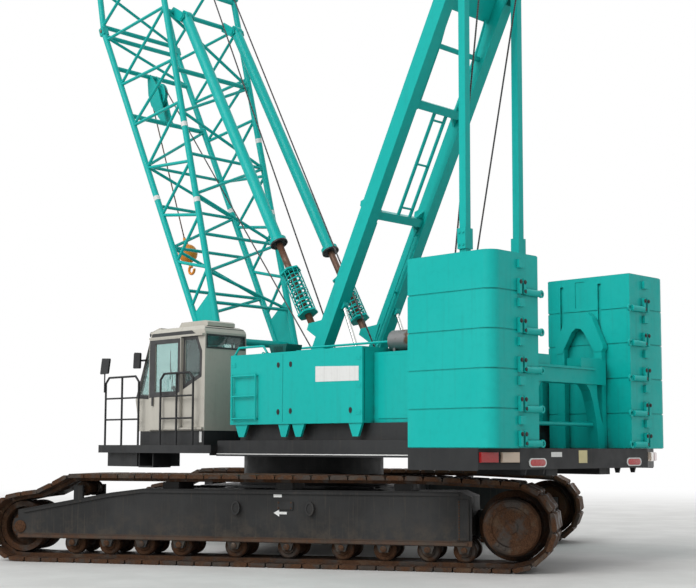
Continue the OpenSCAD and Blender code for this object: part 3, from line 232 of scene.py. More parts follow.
def paint(name, colour, dirt_and_shade=DUST_AND_SHADE, rough=0.33, corner_shade=0.5, streaks=0.35, fade=0.10, rust=0.0,
          low=None, shine=0.16, recolour=None, streak=(4.5, 0.22)):
    """Sprayed paint with orange peel, sun fade, rain streaks, painted shade and dirt in corners,
    painted shade in seams, and rust at chips.

    low gives the heights between which mud thins out.
    """
    g = Graph(name)
    own = recolour(g, colour) if recolour else colour
    # Faded and darker patches
    faded = tuple(min(1, c * 1.25 + 0.05) for c in colour)
    base = g.mix(g.fit(g.noise(0.9, 3), 0.35, 0.7, 0, fade), own, faded)
    darker = tuple(c * 0.62 for c in colour)
    base = g.mix(g.fit(g.noise(11, 5), 0.45, 0.75, 0, 0.14), base, darker)
    # Rain streaks
    rain = g.noise(3.2, 5, g.stretch((streak[0], streak[0], streak[1])), 0.6)
    stain = tuple(0.55 * c + 0.45 * d for c, d in zip(colour, dirt_and_shade))
    base = g.mix(g.fit(rain, 0.52, 0.74, 0, streaks), base, stain)
    # Painted shade and dirt in corners, and mud low down
    patchy = g.fit(g.noise(7, 6), 0.25, 0.7, 0.35, 1.0)
    shade_and_mud = g.fit(g.calc("MULTIPLY", g.occlusion_shade(0.16), patchy), 0.25, 0.85, 0, corner_shade)
    if low:
        height = g.fit(g.split()["Z"], low[1], low[0])
        mud = g.calc("MULTIPLY", height, g.fit(g.noise(5, 7, rough=0.7), 0.40, 0.68))
        shade_and_mud = g.calc("MAXIMUM", shade_and_mud, g.calc("MULTIPLY", mud, 0.75))
    base = g.mix(shade_and_mud, base, dirt_and_shade)
    # Rust at chips
    chips = g.fit(g.noise(42, 5, rough=0.62), 0.70 - 0.05 * rust, 0.74 - 0.05 * rust)
    chips = g.calc("MULTIPLY", chips, g.fit(g.noise(2.3, 3), 0.5, 0.62, 0, 0.35 + rust))
    base = g.mix(chips, base, CHIP_RUST)
    # Painted shade in seams and narrow gaps
    seam_shade = g.fit(g.occlusion_shade(0.035), 0.35, 0.8, 0, 0.8)
    base = g.mix(seam_shade, base, tuple(0.10 * c for c in colour))
    # Orange peel, and slack sheet
    g.bump(g.noise(95, 2), 0.05, 0.004)
    g.bump(g.noise(2.1, 2), 0.10, 0.02)
    gloss = g.fit(g.noise(6, 4), 0.3, 0.75, rough, rough + 0.16)
    gloss = g.calc("ADD", gloss, g.calc("MULTIPLY", shade_and_mud, 0.4))
    return g.done(base, gloss, Specular_IOR_Level=shine, Coat_Weight=0.05, Coat_Roughness=0.12)


def worn_steel(name, colour, rust_colour, share, rough=0.5, metal=0.7, grain=60, mud=None,
               shine=0.4):
    """Rolled or cast steel with rust, scale and dried mud, and painted shade in its crevices."""
    g = Graph(name)
    rusty = g.fit(g.noise(3.4, 7, rough=0.65), 0.62 - 0.34 * share, 0.70 - 0.22 * share)
    fine = g.noise(grain, 6, rough=0.7)
    deep_rust = tuple(c * 0.38 for c in rust_colour)
    base = g.mix(rusty, colour, g.mix(g.fit(fine, 0.35, 0.7), rust_colour, deep_rust))
    # Painted shade in crevices, near black like scale
    base = g.mix(g.fit(g.occlusion_shade(0.12), 0.3, 0.9, 0, 0.8), base, CREVICE_SHADE_AND_SCALE)
    if mud:
        cake = g.fit(g.noise(4.3, 7, rough=0.7), 0.52, 0.68)
        base = g.mix(g.calc("MULTIPLY", cake, mud), base, DRY_MUD)
    g.bump(fine, 0.35, 0.006)
    g.bump(g.noise(9, 5), 0.35, 0.02)
    bright = g.calc("MULTIPLY", g.calc("SUBTRACT", 1.0, rusty), metal)
    return g.done(base, g.fit(rusty, 0, 1, rough, 0.88), bright, Specular_IOR_Level=shine)


def wire(name, colour, twist=160):
    """Laid wire rope: slanting strands with painted shade in the grooves between them, greasy."""
    g = Graph(name)
    s = g.split()
    slant = g.calc("ADD", g.calc("ADD", s["X"], s["Y"]), s["Z"])
    lay = g.calc("SINE", g.calc("MULTIPLY", slant, twist))
    # The strands are darker in the grooves of the lay: painted shade
    base = g.mix(g.fit(lay, -0.4, 0.8), tuple(c * 0.35 for c in colour), colour)
    base = g.mix(g.fit(g.noise(3, 4), 0.5, 0.7, 0, 0.5), base, ROPE_GREASE)
    g.bump(lay, 0.6, 0.006)
    return g.done(base, 0.5, 0.4)


def plain(name, colour, rough, grain, depth, metal=0.0, **sockets):
    """Moulded or coated surface: fine grain, and dust that lightens it in patches."""
    g = Graph(name)
    dust = tuple(min(1.0, 0.75 * c + 0.06) for c in colour)
    base = g.mix(g.fit(g.noise(5, 5), 0.45, 0.72, 0, 0.45), colour, dust)
    g.bump(g.noise(grain, 3), 0.25, depth)
    gloss = g.fit(g.noise(9, 4), 0.3, 0.7, rough, rough + 0.14)
    return g.done(base, gloss, metal, **sockets)


def cab_inside(g, colour):
    """The shell gets painted shade inside, behind its slanting front."""
    s = g.split()
    upper, lower = (g.calc("ADD", g.calc("MULTIPLY", s["Z"], slope), y - slope * z)
                    for y, z, slope in (CAB_FRONT_UPPER, CAB_FRONT_LOWER))
    front = g.calc("ADD", g.calc("MAXIMUM", upper, lower), CAB_WALL)
    inside = g.calc("GREATER_THAN", s["Y"], front)
    for test, axis, limit in (("LESS_THAN", "X", CAB_X - CAB_WALL),
                              ("GREATER_THAN", "X", CAB_X - CAB_W + CAB_WALL),
                              ("LESS_THAN", "Y", CAB_REAR - CAB_WALL),
                              ("LESS_THAN", "Z", CAB_ROOF_Z),
                              ("GREATER_THAN", "Z", CAB_FLOOR_Z)):
        inside = g.calc("MULTIPLY", inside, g.calc(test, s[axis], limit))
    return g.mix(inside, colour, CAB_INSIDE_SHADE)


def glass_mat():
    g = Graph("tinted_glass")
    film = g.fit(g.noise(4, 6), 0.42, 0.75, 0.0, 0.03)
    tint = g.mix(g.fit(g.noise(3, 5), 0.4, 0.7, 0, 0.3), (0.58, 0.74, 0.72), (0.44, 0.58, 0.57))
    return g.done(tint, film, Transmission_Weight=0.92, IOR=1.45)


def cloth_mat():
    g = Graph("seat_cloth")
    s = g.split(g.stretch((260, 260, 260)))
    weft = g.calc("SINE", g.calc("ADD", s["X"], s["Y"]))
    weave = g.calc("MULTIPLY", weft, g.calc("SINE", s["Z"]))
    # The weave is darker in its hollows: painted shade
    base = g.mix(g.fit(weave, -0.6, 0.6), (0.010, 0.010, 0.012), (0.035, 0.035, 0.04))
    g.bump(weave, 0.4, 0.002)
    return g.done(base, 0.9, Sheen_Weight=0.3)


def lens_mat():
    """Ribbed lenses: red on the outer half of each lamp, clear on the inner half."""
    g = Graph("lamp_lens")
    s = g.split()
    ribs = g.calc("SINE", g.calc("MULTIPLY", s["Z"], 520))
    g.bump(ribs, 0.4, 0.002)
    outer = g.calc("GREATER_THAN", g.calc("ABSOLUTE", s["X"]), LENS_SPLIT_X)
    colour = g.mix(outer, (0.62, 0.50, 0.40), (0.42, 0.006, 0.008))
    dim = g.mix(outer, (0.40, 0.30, 0.22), (0.22, 0.003, 0.004))
    return g.done(g.mix(g.fit(ribs, -1, 1), colour, dim), 0.12, Coat_Weight=0.6)


def rusty_edge(g, colour):
    """The lower flange of a track frame, worn down to rust by the mud that the rollers throw."""
    s = g.split()
    band = g.calc("MULTIPLY", g.fit(s["Z"], 0.425, 0.385), g.fit(s["Z"], 0.325, 0.345))
    worn = g.calc("MULTIPLY", band, g.fit(g.noise(6, 5), 0.25, 0.6, 0.35, 1.0))
    return g.mix(worn, colour, FLANGE_RUST)


def ball_rope(g, colour):
    """The rope above the ball belongs to its node and isn't painted."""
    s = g.split()
    ahead = g.calc("MULTIPLY", g.calc("ADD", s["Y"], -BOOM_FOOT.y), -math.cos(BOOM_ANGLE))
    rise = g.calc("MULTIPLY", g.calc("ADD", s["Z"], -BOOM_FOOT.z), math.sin(BOOM_ANGLE))
    above = g.calc("GREATER_THAN", g.calc("ADD", ahead, rise), BALL_TOP_S)
    return g.mix(above, colour, BARE_ROPE)


TEAL = (0.004, 0.435, 0.395)
# Dark teal for painted shade in the corners of teal paint, and for its rain streaks
DEEP = (0.030, 0.062, 0.055)
ORANGE = (0.78, 0.27, 0.03)
# Dark brown for the frames' mud and rain streaks, and for painted shade in their corners
FRAME_DIRT_AND_SHADE = (0.085, 0.068, 0.052)
MAT = {
    "teal": paint("teal_paint", TEAL, dirt_and_shade=DEEP, corner_shade=0.7, streaks=0.22, fade=0.06),
    "ballast": paint("ballast_paint", TEAL, dirt_and_shade=DEEP, corner_shade=0.8, streaks=0.28, fade=0.10,
                     rust=0.03),
    "frame_paint": paint("dark_paint", (0.017, 0.018, 0.019), dirt_and_shade=FRAME_DIRT_AND_SHADE, rough=0.45,
                         corner_shade=0.4, streaks=0.4, fade=0.2, low=(0.1, 1.2), rust=0.05, shine=0.25),
    "cab_paint": paint("cab_paint", (0.50, 0.475, 0.415), corner_shade=0.5, streaks=0.3, fade=0.1,
                       recolour=cab_inside),
    "orange": paint("orange_paint", ORANGE, corner_shade=0.5, rust=0.08),
    "track_steel": worn_steel("track_steel", (0.055, 0.046, 0.040), (0.092, 0.042, 0.020), 0.7,
                              mud=0.5, shine=0.22),
    "rod_steel": worn_steel("rod_steel", (0.14, 0.075, 0.05), (0.13, 0.052, 0.026), 0.5,
                            metal=0.4),
    "bare_steel": worn_steel("bare_steel", (0.20, 0.20, 0.20), (0.13, 0.07, 0.04), 0.3),
    "wire_rope": wire("wire_rope", (0.075, 0.075, 0.08)),
    "engine": worn_steel("engine_block", (0.08, 0.08, 0.08), (0.10, 0.06, 0.035), 0.3),
    "glass": glass_mat(),
    "seat": cloth_mat(),
    "lamp": lens_mat(),
}
WHITE = paint("white_paint", (0.74, 0.74, 0.72), streaks=0.3, corner_shade=0.4, fade=0.05)
RUBBER = plain("black_rubber", (0.012, 0.012, 0.013), 0.42, 160, 0.002)
PLASTIC = plain("black_plastic", (0.020, 0.020, 0.021), 0.30, 240, 0.001)
CHROME = plain("polished_rod", (0.62, 0.62, 0.60), 0.16, 300, 0.0006, 1.0)
SCREEN = plain("dark_screen", (0.010, 0.014, 0.018), 0.08, 60, 0.0002)
BRASS = plain("plated_bolt", (0.19, 0.17, 0.13), 0.38, 200, 0.001, 0.8)
DARK_BOLT = plain("dark_bolt", (0.022, 0.021, 0.020), 0.45, 200, 0.001, 0.3)
DARK_TEAL = paint("shaded_teal_paint", (0.003, 0.085, 0.074), dirt_and_shade=DEEP, corner_shade=0.6)
ROPE_LAYER = worn_steel("rope_layer", (0.060, 0.060, 0.062), (0.05, 0.032, 0.02), 0.25,
                        rough=0.55, metal=0.3, grain=140)
BALL = paint("ball_paint", ORANGE, corner_shade=0.5, rust=0.06, recolour=ball_rope)
FRAME_SIDE = paint("track_frame_paint", (0.021, 0.021, 0.021), dirt_and_shade=FRAME_DIRT_AND_SHADE, rough=0.5,
                   corner_shade=0.5, streaks=0.8, fade=0.25, low=(0.15, 0.9), rust=0.06,
                   streak=(11, 0.45), recolour=rusty_edge)
MIRROR = plain("mirror_face", (0.78, 0.80, 0.80), 0.05, 40, 0.0002, 1.0)
CLEAR = plain("clear_lens", (0.62, 0.63, 0.62), 0.10, 90, 0.001, Coat_Weight=0.7)
REFLECTOR = plain("red_reflector", (0.45, 0.012, 0.012), 0.18, 130, 0.002, Coat_Weight=0.5)
PALE_YELLOW = paint("pale_plate", (0.62, 0.55, 0.30), streaks=0.2, corner_shade=0.4)

slots = {row["node"]: row["material_slot"] for row in frame["record"]["subparts"]}
own_finish = {"track_frame_l": FRAME_SIDE, "track_frame_r": FRAME_SIDE, "overhaul_ball": BALL,
              "hook_hanger": MAT["frame_paint"]}
for node, obj in frame["nodes"].items():
    for entry in obj.material_slots:
        entry.material = own_finish.get(node, MAT[slots[node]])


# Pieces
def circle(r, n, turn=0.0):
    angles = [2 * math.pi * k / n + turn for k in range(n)]
    return [(r * math.cos(a), r * math.sin(a)) for a in angles]


def oval(x, y, rx, ry, n):
    return [(x + rx * c, y + ry * s) for c, s in circle(1, n)]


def rectangle(x0, y0, x1, y1):
    return [(x0, y0), (x1, y0), (x1, y1), (x0, y1)]


def degrees(first, last, step):
    """Angles in radians, from first to last degree."""
    return [math.radians(t) for t in range(first, last + 1, step)]


def bend(x, y, z, r, angles, way=1):
    """Points of an arc round (y, z), at one x."""
    return [(x, y + r * math.cos(a), z + way * r * math.sin(a)) for a in angles]


def along(axis_from, axis_to):
    """Local z runs from one point to the other."""
    a, b = Vector(axis_from), Vector(axis_to)
    return Matrix.Translation(a) @ (b - a).to_track_quat("Z", "Y").to_matrix().to_4x4()


def facing(x, y, z, axis):
    """Local z looks along +x, -x, +y or -y from a point."""
    look_at = {"x": (1, 0, 0), "-x": (-1, 0, 0), "y": (0, 1, 0), "-y": (0, -1, 0)}[axis]
    return along((x, y, z), Vector((x, y, z)) + Vector(look_at))


def outward(side):
    return "x" if side > 0 else "-x"


# Local x is y, local y is z, and local z is x
SIDE = Matrix(((0, 0, 1, 0), (1, 0, 0, 0), (0, 1, 0, 0), (0, 0, 0, 1)))
# Local x stays, local y is z, and local z is -y
FLAT = Matrix(((1, 0, 0, 0), (0, 0, -1, 0), (0, 1, 0, 0), (0, 0, 0, 1)))


class Piece:
    """Tubes, plates and turned forms in one mesh, which rides on one body."""

    def __init__(self, name, body, slot, material=None, place=None):
        self.name, self.body, self.slot = name, body, slot
        self.material = material or MAT[slot]
        self.place = place or Matrix.Identity(4)
        self.verts, self.faces = [], []

    def add(self, verts, faces, place=None):
        start = len(self.verts)
        at = self.place @ place if place else self.place
        self.verts += [at @ Vector(v) for v in verts]
        self.faces += [[start + i for i in face] for face in faces]

    def strips(self, rows, n, place=None, caps=True):
        """Rows of n points each, joined row to row and closed at both ends."""
        faces = [[i * n + k, i * n + (k + 1) % n, (i + 1) * n + (k + 1) % n, (i + 1) * n + k]
                 for i in range(len(rows) - 1) for k in range(n)]
        if caps:
            faces += [list(range(n))[::-1], [(len(rows) - 1) * n + k for k in range(n)]]
        self.add([p for row in rows for p in row], faces, place)

    def tube(self, points, r, sides=10, place=None):
        points = [Vector(p) for p in points]
        side = (points[1] - points[0]).normalized().orthogonal().normalized()
        rows = []
        for i, p in enumerate(points):
            ahead = (points[min(i + 1, len(points) - 1)] - points[max(i - 1, 0)]).normalized()
            side = (side - ahead * side.dot(ahead)).normalized()
            up = ahead.cross(side)
            rows.append([p + side * a + up * b for a, b in circle(r, sides)])
        self.strips(rows, sides, place)

    def prism(self, outline, z0, z1, place=None):
        """Extrudes an outline of [x, y] points from z0 to z1."""
        self.strips([[(x, y, z) for x, y in outline] for z in (z0, z1)], len(outline), place)

    def box(self, lo, hi, place=None):
        self.prism(rectangle(lo[0], lo[1], hi[0], hi[1]), lo[2], hi[2], place)

    def ring(self, outer, inner, z0, z1, place=None):
        """A frame between two outlines of as many points."""
        loop = ((outer, z0), (outer, z1), (inner, z1), (inner, z0), (outer, z0))
        rows = [[(x, y, z) for x, y in outline] for outline, z in loop]
        self.strips(rows, len(outer), place, caps=False)

    def lathe(self, profile, sides=24, place=None):
        """Turns a profile of [r, z] points round z."""
        self.strips([[(x, y, z) for x, y in circle(r, sides)] for r, z in profile], sides, place)

    def cap(self, place, r, edge, top_r, top, sides=24):
        """A round cap, straight to the height edge and then drawn in to top_r."""
        self.lathe([(CORE, 0), (r, 0), (r, edge), (top_r, top), (CORE, top)], sides, place)

    def bolt(self, place, r=0.016, h=0.012):
        """A six-sided head on a washer."""
        self.lathe([(r * 1.5, 0), (r * 1.5, h * 0.2), (r * 1.3, h * 0.3)], 12, place)
        self.prism(circle(r, 6), h * 0.2, h, place)

    def bolts(self, place, radius, count, r, h, lift=0.0):
        """A circle of bolts round the place's local z, at the height lift."""
        place = place @ Matrix.Translation((0, 0, lift))
        for x, y in circle(radius, count, 0.2):
            self.bolt(place @ Matrix.Translation((x, y, 0)), r, h)

    def make(self, bevel=0.0, smooth=40):
        mesh = bpy.data.meshes.new(self.name)
        mesh.from_pydata(self.verts, [], self.faces)
        mesh.validate()
        work = bmesh.new()
        work.from_mesh(mesh)
        bmesh.ops.remove_doubles(work, verts=work.verts, dist=1e-6)
        bmesh.ops.recalc_face_normals(work, faces=work.faces)
        if bevel:
            sharp = math.radians(35)
            edges = [e for e in work.edges
                     if len(e.link_faces) == 2 and e.calc_face_angle(0) > sharp]
            bmesh.ops.bevel(work, geom=edges, offset=bevel, segments=2, profile=0.7,
                            affect="EDGES", clamp_overlap=True)
        for face in work.faces:
            face.smooth = True
        limit = math.radians(smooth)
        for edge in work.edges:
            edge.smooth = len(edge.link_faces) == 2 and edge.calc_face_angle(0) < limit
        work.to_mesh(mesh)
        work.free()
        mesh.materials.append(self.material)
        obj = bpy.data.objects.new(self.name, mesh)
        bpy.context.scene.collection.objects.link(obj)
        if self.body:
            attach(obj, self.body)
        return obj


def strand(name, lines, r, bands=24):
    """Ropes that run between two bodies joined by one joint."""
    rope = Piece(name, None, "wire_rope")
    for a, b in lines:
        a, b = Vector(a), Vector(b)
        rope.tube([a.lerp(b, i / bands) for i in range(bands + 1)], r, 8)
    obj = rope.make()
    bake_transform(obj)
    return obj


# Ropes: the stay's twelve falls
STAY_FROM, STAY_ROPE_V = 0.65, 0.185
stay_lines = [(IN_STAY @ Vector((x, v, STAY_FROM)), IN_STAY @ Vector((x, v, FLOAT_AT)))
              for x in [-0.25 + 0.1 * k for k in range(6)] for v in (-STAY_ROPE_V, STAY_ROPE_V)]
strand("stay_reeving", stay_lines,
       0.012)

# Two hoist ropes, which run from their drums to the guide sheave on the boom's head.
# ROPE_TURN is the share of a rope's length, from its drum, in which it turns to the boom.
ROPE_TURN, ROPE_BANDS = 0.22, 60
HOIST_ROPE_R = 0.013
HEAD_GUIDE_R = 0.195
for rope_name, drum, x in (("hoist_rope", 1, -0.04), ("luffing_jib_rope", 0, 0.04)):
    rope_low = Vector((x, DRUM_Y[drum] - 0.262, DRUM_Z + 0.14))
    behind = (HEAD_GUIDE - rope_low).normalized()
    rope_high = HEAD_GUIDE + Vector((x, HEAD_GUIDE_R * behind.z, -HEAD_GUIDE_R * behind.y))
    strand(rope_name, [(rope_low, rope_high)],
           HOIST_ROPE_R, ROPE_BANDS)
over = Piece("head_guide_rope", "boom", "wire_rope", None, IN_BOOM)
for x in (-0.04, 0.04):
    over.tube(bend(x, STAY_V, ROOT_S, HEAD_GUIDE_R, degrees(-4, 90, 8))
              + [(x * 3.2, HEAD_V, HEAD_S + 0.236)], HOIST_ROPE_R, 8)
over.make()

# Four falls, which lengthen between the hanger and the hook block
FALL_R, FALL_DROP, FALL_X, FALL_ROPE_R = 0.2332, 2.6, (-0.13, 0.13), 0.014
falls = strand("hook_fall_ropes",
               [(HEAD + Vector((x, y, 0)), HEAD + Vector((x, y, -FALL_DROP)))
                for x in FALL_X for y in (-FALL_R, FALL_R)],
               FALL_ROPE_R)
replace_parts(falls, "hook_falls")
for bend_name, bend_body, lift, way in (("hook_fall_tops", "hook_hanger", 0.0, 1),
                                        ("hook_fall_bottoms", "hook_block", -FALL_DROP, -1)):
    bends = Piece(bend_name, bend_body, "wire_rope")
    for x in FALL_X:
        bends.tube([HEAD + Vector(p) for p in bend(x, 0, lift, FALL_R, degrees(0, 180, 12), way)],
                   FALL_ROPE_R, 8)
    bends.make()

# The guide sheave on the head has two grooves
wheel = Piece("head_guide_sheave", "boom", "teal", None, IN_BOOM)
HUB_R, RIM_R, GROOVE_R = 0.0552, 0.21, HEAD_GUIDE_R - 0.012
half_wheel = [(HUB_R, 0.075), (RIM_R, 0.075), (RIM_R, 0.068), (GROOVE_R, 0.048),
              (GROOVE_R, 0.032), (RIM_R, 0.012)]
wheel.lathe([(r, -z) for r, z in half_wheel] + half_wheel[::-1], 40,
            facing(0, STAY_V, ROOT_S, "x"))
wheel.make()

# The ball's rope, by way of the guide sheave on the boom's base
WHIP_R, WHIP_ROPE_R = 0.233, 0.012
whip_high = IN_BOOM @ Vector((0, GUIDE_V + 0.235, GUIDE_S))
whip_low = Vector((0.25, DRUM_Y[0] - 0.29, DRUM_Z + 0.08))
strand("whip_rope", [(whip_low, whip_high)],
       WHIP_ROPE_R, ROPE_BANDS)
whip = Piece("whip_head_rope", "boom", "wire_rope")
whip.tube(bend(0, GUIDE_V, GUIDE_S, WHIP_R, degrees(0, 180, 15)), WHIP_ROPE_R, 8, IN_BOOM)
whip.make()

# The boom hoist rope, both of its lines between their drum and the mast's head
mast_rope = Piece("boom_hoist_rope", "upper", "wire_rope")
for x, y in ((0.455, DRUM_Y[2] + 0.27), (-0.455, DRUM_Y[2] - 0.25)):
    mast_rope.tube([(x, y, DRUM_Z + 0.14), (x, MAST_HEAD.y + 0.235, MAST_HEAD.z - 0.05)],
                   HOIST_ROPE_R, 8)
mast_rope.make()

# Rope wound on the drums
WRAPS, WRAP_R, RIDGE_R = 44, 0.285, 0.297
DRUM_R, DRUM_HALF, WOUND_HALF = 0.2505, 0.592, 0.588
wound = Piece("drum_rope", "upper", "wire_rope", ROPE_LAYER)
layer = [(DRUM_R, -DRUM_HALF)]
for i in range(WRAPS):
    x = -WOUND_HALF + i * 1.176 / WRAPS
    layer += [(WRAP_R, x), (RIDGE_R, x + 0.0087), (RIDGE_R, x + 0.0180), (WRAP_R, x + 0.0265)]
layer.append((DRUM_R, DRUM_HALF))
for y in DRUM_Y:
    wound.lathe(layer, 40, facing(0, y, DRUM_Z, "x"))
wound.make(smooth=70)

# Backstop springs: a true coil between the plates, with the cage's bars
SPRING_TOP, SPRING_END, PLATE = STOP_LEN - 1.12, STOP_LEN - 0.26, 0.03
COIL_R, COIL_TURNS, COIL_STEPS, COIL_WIRE_R = 0.114, 9.5, 240, 0.014
COIL_GAP, LIP = 0.012, 0.02
coil = Piece("backstop_coils", "backstop_rods", "teal")
coil_low, coil_high = SPRING_TOP + PLATE + COIL_GAP, SPRING_END - PLATE - COIL_GAP
coil_line = [(COIL_R * math.cos(2 * math.pi * COIL_TURNS * i / COIL_STEPS),
              COIL_R * math.sin(2 * math.pi * COIL_TURNS * i / COIL_STEPS),
              coil_low + (coil_high - coil_low) * i / COIL_STEPS) for i in range(COIL_STEPS + 1)]
for side in (-1, 1):
    at = in_stop(side)
    coil.tube(coil_line, COIL_WIRE_R, 8, at)
    for z, lip_low, lip_high in (
            (SPRING_TOP, SPRING_TOP + PLATE, SPRING_TOP + PLATE + LIP),
            (SPRING_END - PLATE, SPRING_END - PLATE - LIP, SPRING_END - PLATE)):
        coil.ring(circle(0.178, 6, math.radians(30)), circle(0.056, 6, math.radians(30)),
                  z, z + PLATE, at)
        coil.ring(circle(0.130, 24), circle(0.094, 24), lip_low, lip_high, at)
    for x, y in circle(0.148, 12, math.radians(90)):
        coil.tube([(x, y, SPRING_TOP + 0.001), (x, y, SPRING_END - 0.001)], 0.007, 6, at)
    for share in (0.25, 0.5, 0.75):
        hoop_z = SPRING_TOP + share * (SPRING_END - SPRING_TOP)
        coil.ring(circle(0.156, 24), circle(0.150, 24), hoop_z - 0.008, hoop_z + 0.008, at)
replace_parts(coil.make(), "backstop_springs")
COLLAR_Z, COLLAR_BORE = STOP_LEN - 1.7, 0.0555
collar = Piece("backstop_collars", "backstop_tubes", "frame_paint")
for side in (-1, 1):
    collar.lathe([(COLLAR_BORE, COLLAR_Z), (0.146, COLLAR_Z), (0.150, COLLAR_Z + 0.006),
                  (0.150, COLLAR_Z + 0.03), (0.143, COLLAR_Z + 0.036),
                  (COLLAR_BORE, COLLAR_Z + 0.036)], 32, in_stop(side))
    collar.bolts(in_stop(side), 0.118, 8, 0.010, 0.010, COLLAR_Z + 0.034)
collar.make()

# Boom: white bands, joint pins, foot pins
BAND_HALF = 0.045
bands = Piece("boom_bands", "boom", "teal", WHITE, IN_BOOM)
for sx in (-1, 1):
    for sv, s in ((-1, 4.56), (1, 3.98), (1, 5.44)):
        bands.lathe([(0.0575, 0), (0.0595, 0.001), (0.0595, 0.089), (0.0575, 0.09)], 32,
                    along(chord(s - BAND_HALF, sx, sv), chord(s + BAND_HALF, sx, sv)))
bands.make()
pins = Piece("boom_joint_pins", "boom", "bare_steel", BRASS, IN_BOOM)
for sx in (-1, 1):
    for sv in (-1, 1):
        joint = chord(BASE_LEN, sx, sv)
        pins.lathe([(CORE, -0.088), (0.024, -0.088), (0.03, -0.082), (0.03, 0.078),
                    (0.022, 0.088), (CORE, 0.088)], 18, facing(joint.x, joint.y, BASE_LEN, "x"))
        pins.tube([(joint.x + sx * 0.083, joint.y, 8.46),
                   (joint.x + sx * 0.083, joint.y + 0.02, 8.56)], 0.004, 6)
pins.make()
FOOT_LUG = 0.117
foot_pins = Piece("boom_foot_caps", "upper", "bare_steel", BRASS)
for sx in (-1, 1):
    for end_x, way in ((CHORD_X + FOOT_LUG, 1), (CHORD_X - FOOT_LUG, -1)):
        at = facing(sx * end_x, BOOM_FOOT.y, BOOM_FOOT.z, outward(sx * way))
        foot_pins.cap(at, 0.085, 0.012, 0.07, 0.018, 28)
        foot_pins.bolts(at, 0.055, 4, 0.011, 0.012, 0.015)
foot_pins.make()

# Undercarriage details, on the outer faces of the frame, its web, the drive and its cover
FRAME_FACE, WEB_FACE, DRIVE_FACE, COVER_FACE = 0.41, 0.432, 0.509, 0.487
for side, mark in ((1, "l"), (-1, "r")):
    at = at_track(side)
    track_trim = Piece(f"track_frame_trim_{mark}", "undercarriage", "track_steel", None, at)
    for y in ROLLERS:
        hub = facing(FRAME_FACE, y, ROLLER_Z + 0.012, "x")
        track_trim.cap(hub, 0.044, 0.010, 0.034, 0.016, 18)
        track_trim.bolts(hub, 0.030, 3, 0.007, 0.010, 0.008)
    cover = facing(COVER_FACE, HALF_SPAN, SPROCKET_Z, "x")
    track_trim.bolts(facing(DRIVE_FACE, HALF_SPAN, SPROCKET_Z, "x"), 0.302, 18, 0.016, 0.016)
    track_trim.bolts(cover, 0.20, 10, 0.013, 0.014)
    track_trim.cap(cover, 0.085, 0.02, 0.06, 0.03)
    track_trim.cap(facing(FRAME_FACE, -HALF_SPAN, IDLER_Z, "x"), 0.09, 0.012, 0.07, 0.02)
    track_trim.bolts(facing(FRAME_FACE + 0.008, -HALF_SPAN, IDLER_Z, "x"), 0.06, 6, 0.010, 0.012)
    for y in (0.355, 0.535):
        for z in (0.82, 0.895):
            track_trim.bolt(facing(WEB_FACE, y, z, "x"), 0.008, 0.006)
    for i in range(14):
        track_trim.bolt(facing(WEB_FACE, 2.90, 0.44 + i * 0.038, "x"), 0.008, 0.008)
    track_trim.make()
    rims = Piece(f"frame_stub_rims_{mark}", "undercarriage", "frame_paint", None, at)
    for y in (-0.27, 0.81):
        rims.ring(oval(y, 0.815, 0.062, 0.095, 28), oval(y, 0.815, 0.042, 0.072, 28),
                  0.444, 0.466, SIDE)
    rims.make()
    arrow = Piece(f"frame_arrow_{mark}", "undercarriage", "frame_paint", WHITE, at)
    arrow.prism([(0.28, 0.75), (0.36, 0.70), (0.36, 0.733), (0.47, 0.733), (0.47, 0.767),
                 (0.36, 0.767), (0.36, 0.80)], FRAME_FACE - SUNK, 0.4115, SIDE)
    arrow.box((FRAME_FACE - SUNK, 0.275, 0.968), (0.4115, 0.395, 1.010))
    arrow.make()

# Deck line, blank plates and reflectors
DECK_X = 1.9215
edge_line = Piece("deck_edge_line", "upper", "frame_paint", WHITE)
for side in (-1, 1):
    x0, x1 = sorted((side * DECK_X, side * DECK_X + side * 0.003))
    edge_line.box((x0, -0.19, 1.557), (x1, 3.86, 1.570))
edge_line.box((CAB_X - SUNK, -0.68, 1.745), (CAB_X + 0.002, -0.62, 1.915))
edge_line.box((0.61, TAIL_REAR - SUNK, 1.548), (0.85, TAIL_REAR + 0.0025, 1.612))
edge_line.make()
plate = Piece("door_blank_plate", "door_left_rear", "teal", WHITE)
plate.prism([(2.0, 2.835), (2.87, 2.805), (2.87, 2.60), (2.0, 2.61)],
            HOUSE_X - SUNK, HOUSE_X + 0.003, SIDE)
plate.make()
sign = Piece("tail_plates", "upper", "frame_paint", PALE_YELLOW)
sign.box((0.02, TAIL_REAR - SUNK, 1.465), (0.22, TAIL_REAR + 0.003, 1.635))
sign.make(bevel=0.001)
reflectors = Piece("tail_reflectors", "upper", "lamp", REFLECTOR)
reflector_rims = Piece("tail_reflector_rims", "upper", "lamp", WHITE)
rounded_end = [(0.13 + 0.058 * math.cos(a), 0.058 * math.sin(a)) for a in degrees(-90, 90, 15)]
stadium = rounded_end + [(-x, -y) for x, y in rounded_end]
for sx in (-1, 1):
    at = facing(sx * 1.15, TAIL_REAR, 1.475, "y")
    reflectors.prism([(x * 0.86, y * 0.72) for x, y in stadium], 0.0, 0.012, at)
    reflector_rims.ring(stadium, [(x * 0.87, y * 0.74) for x, y in stadium], 0.0, 0.008, at)
reflectors.make(bevel=0.002)
reflector_rims.make()

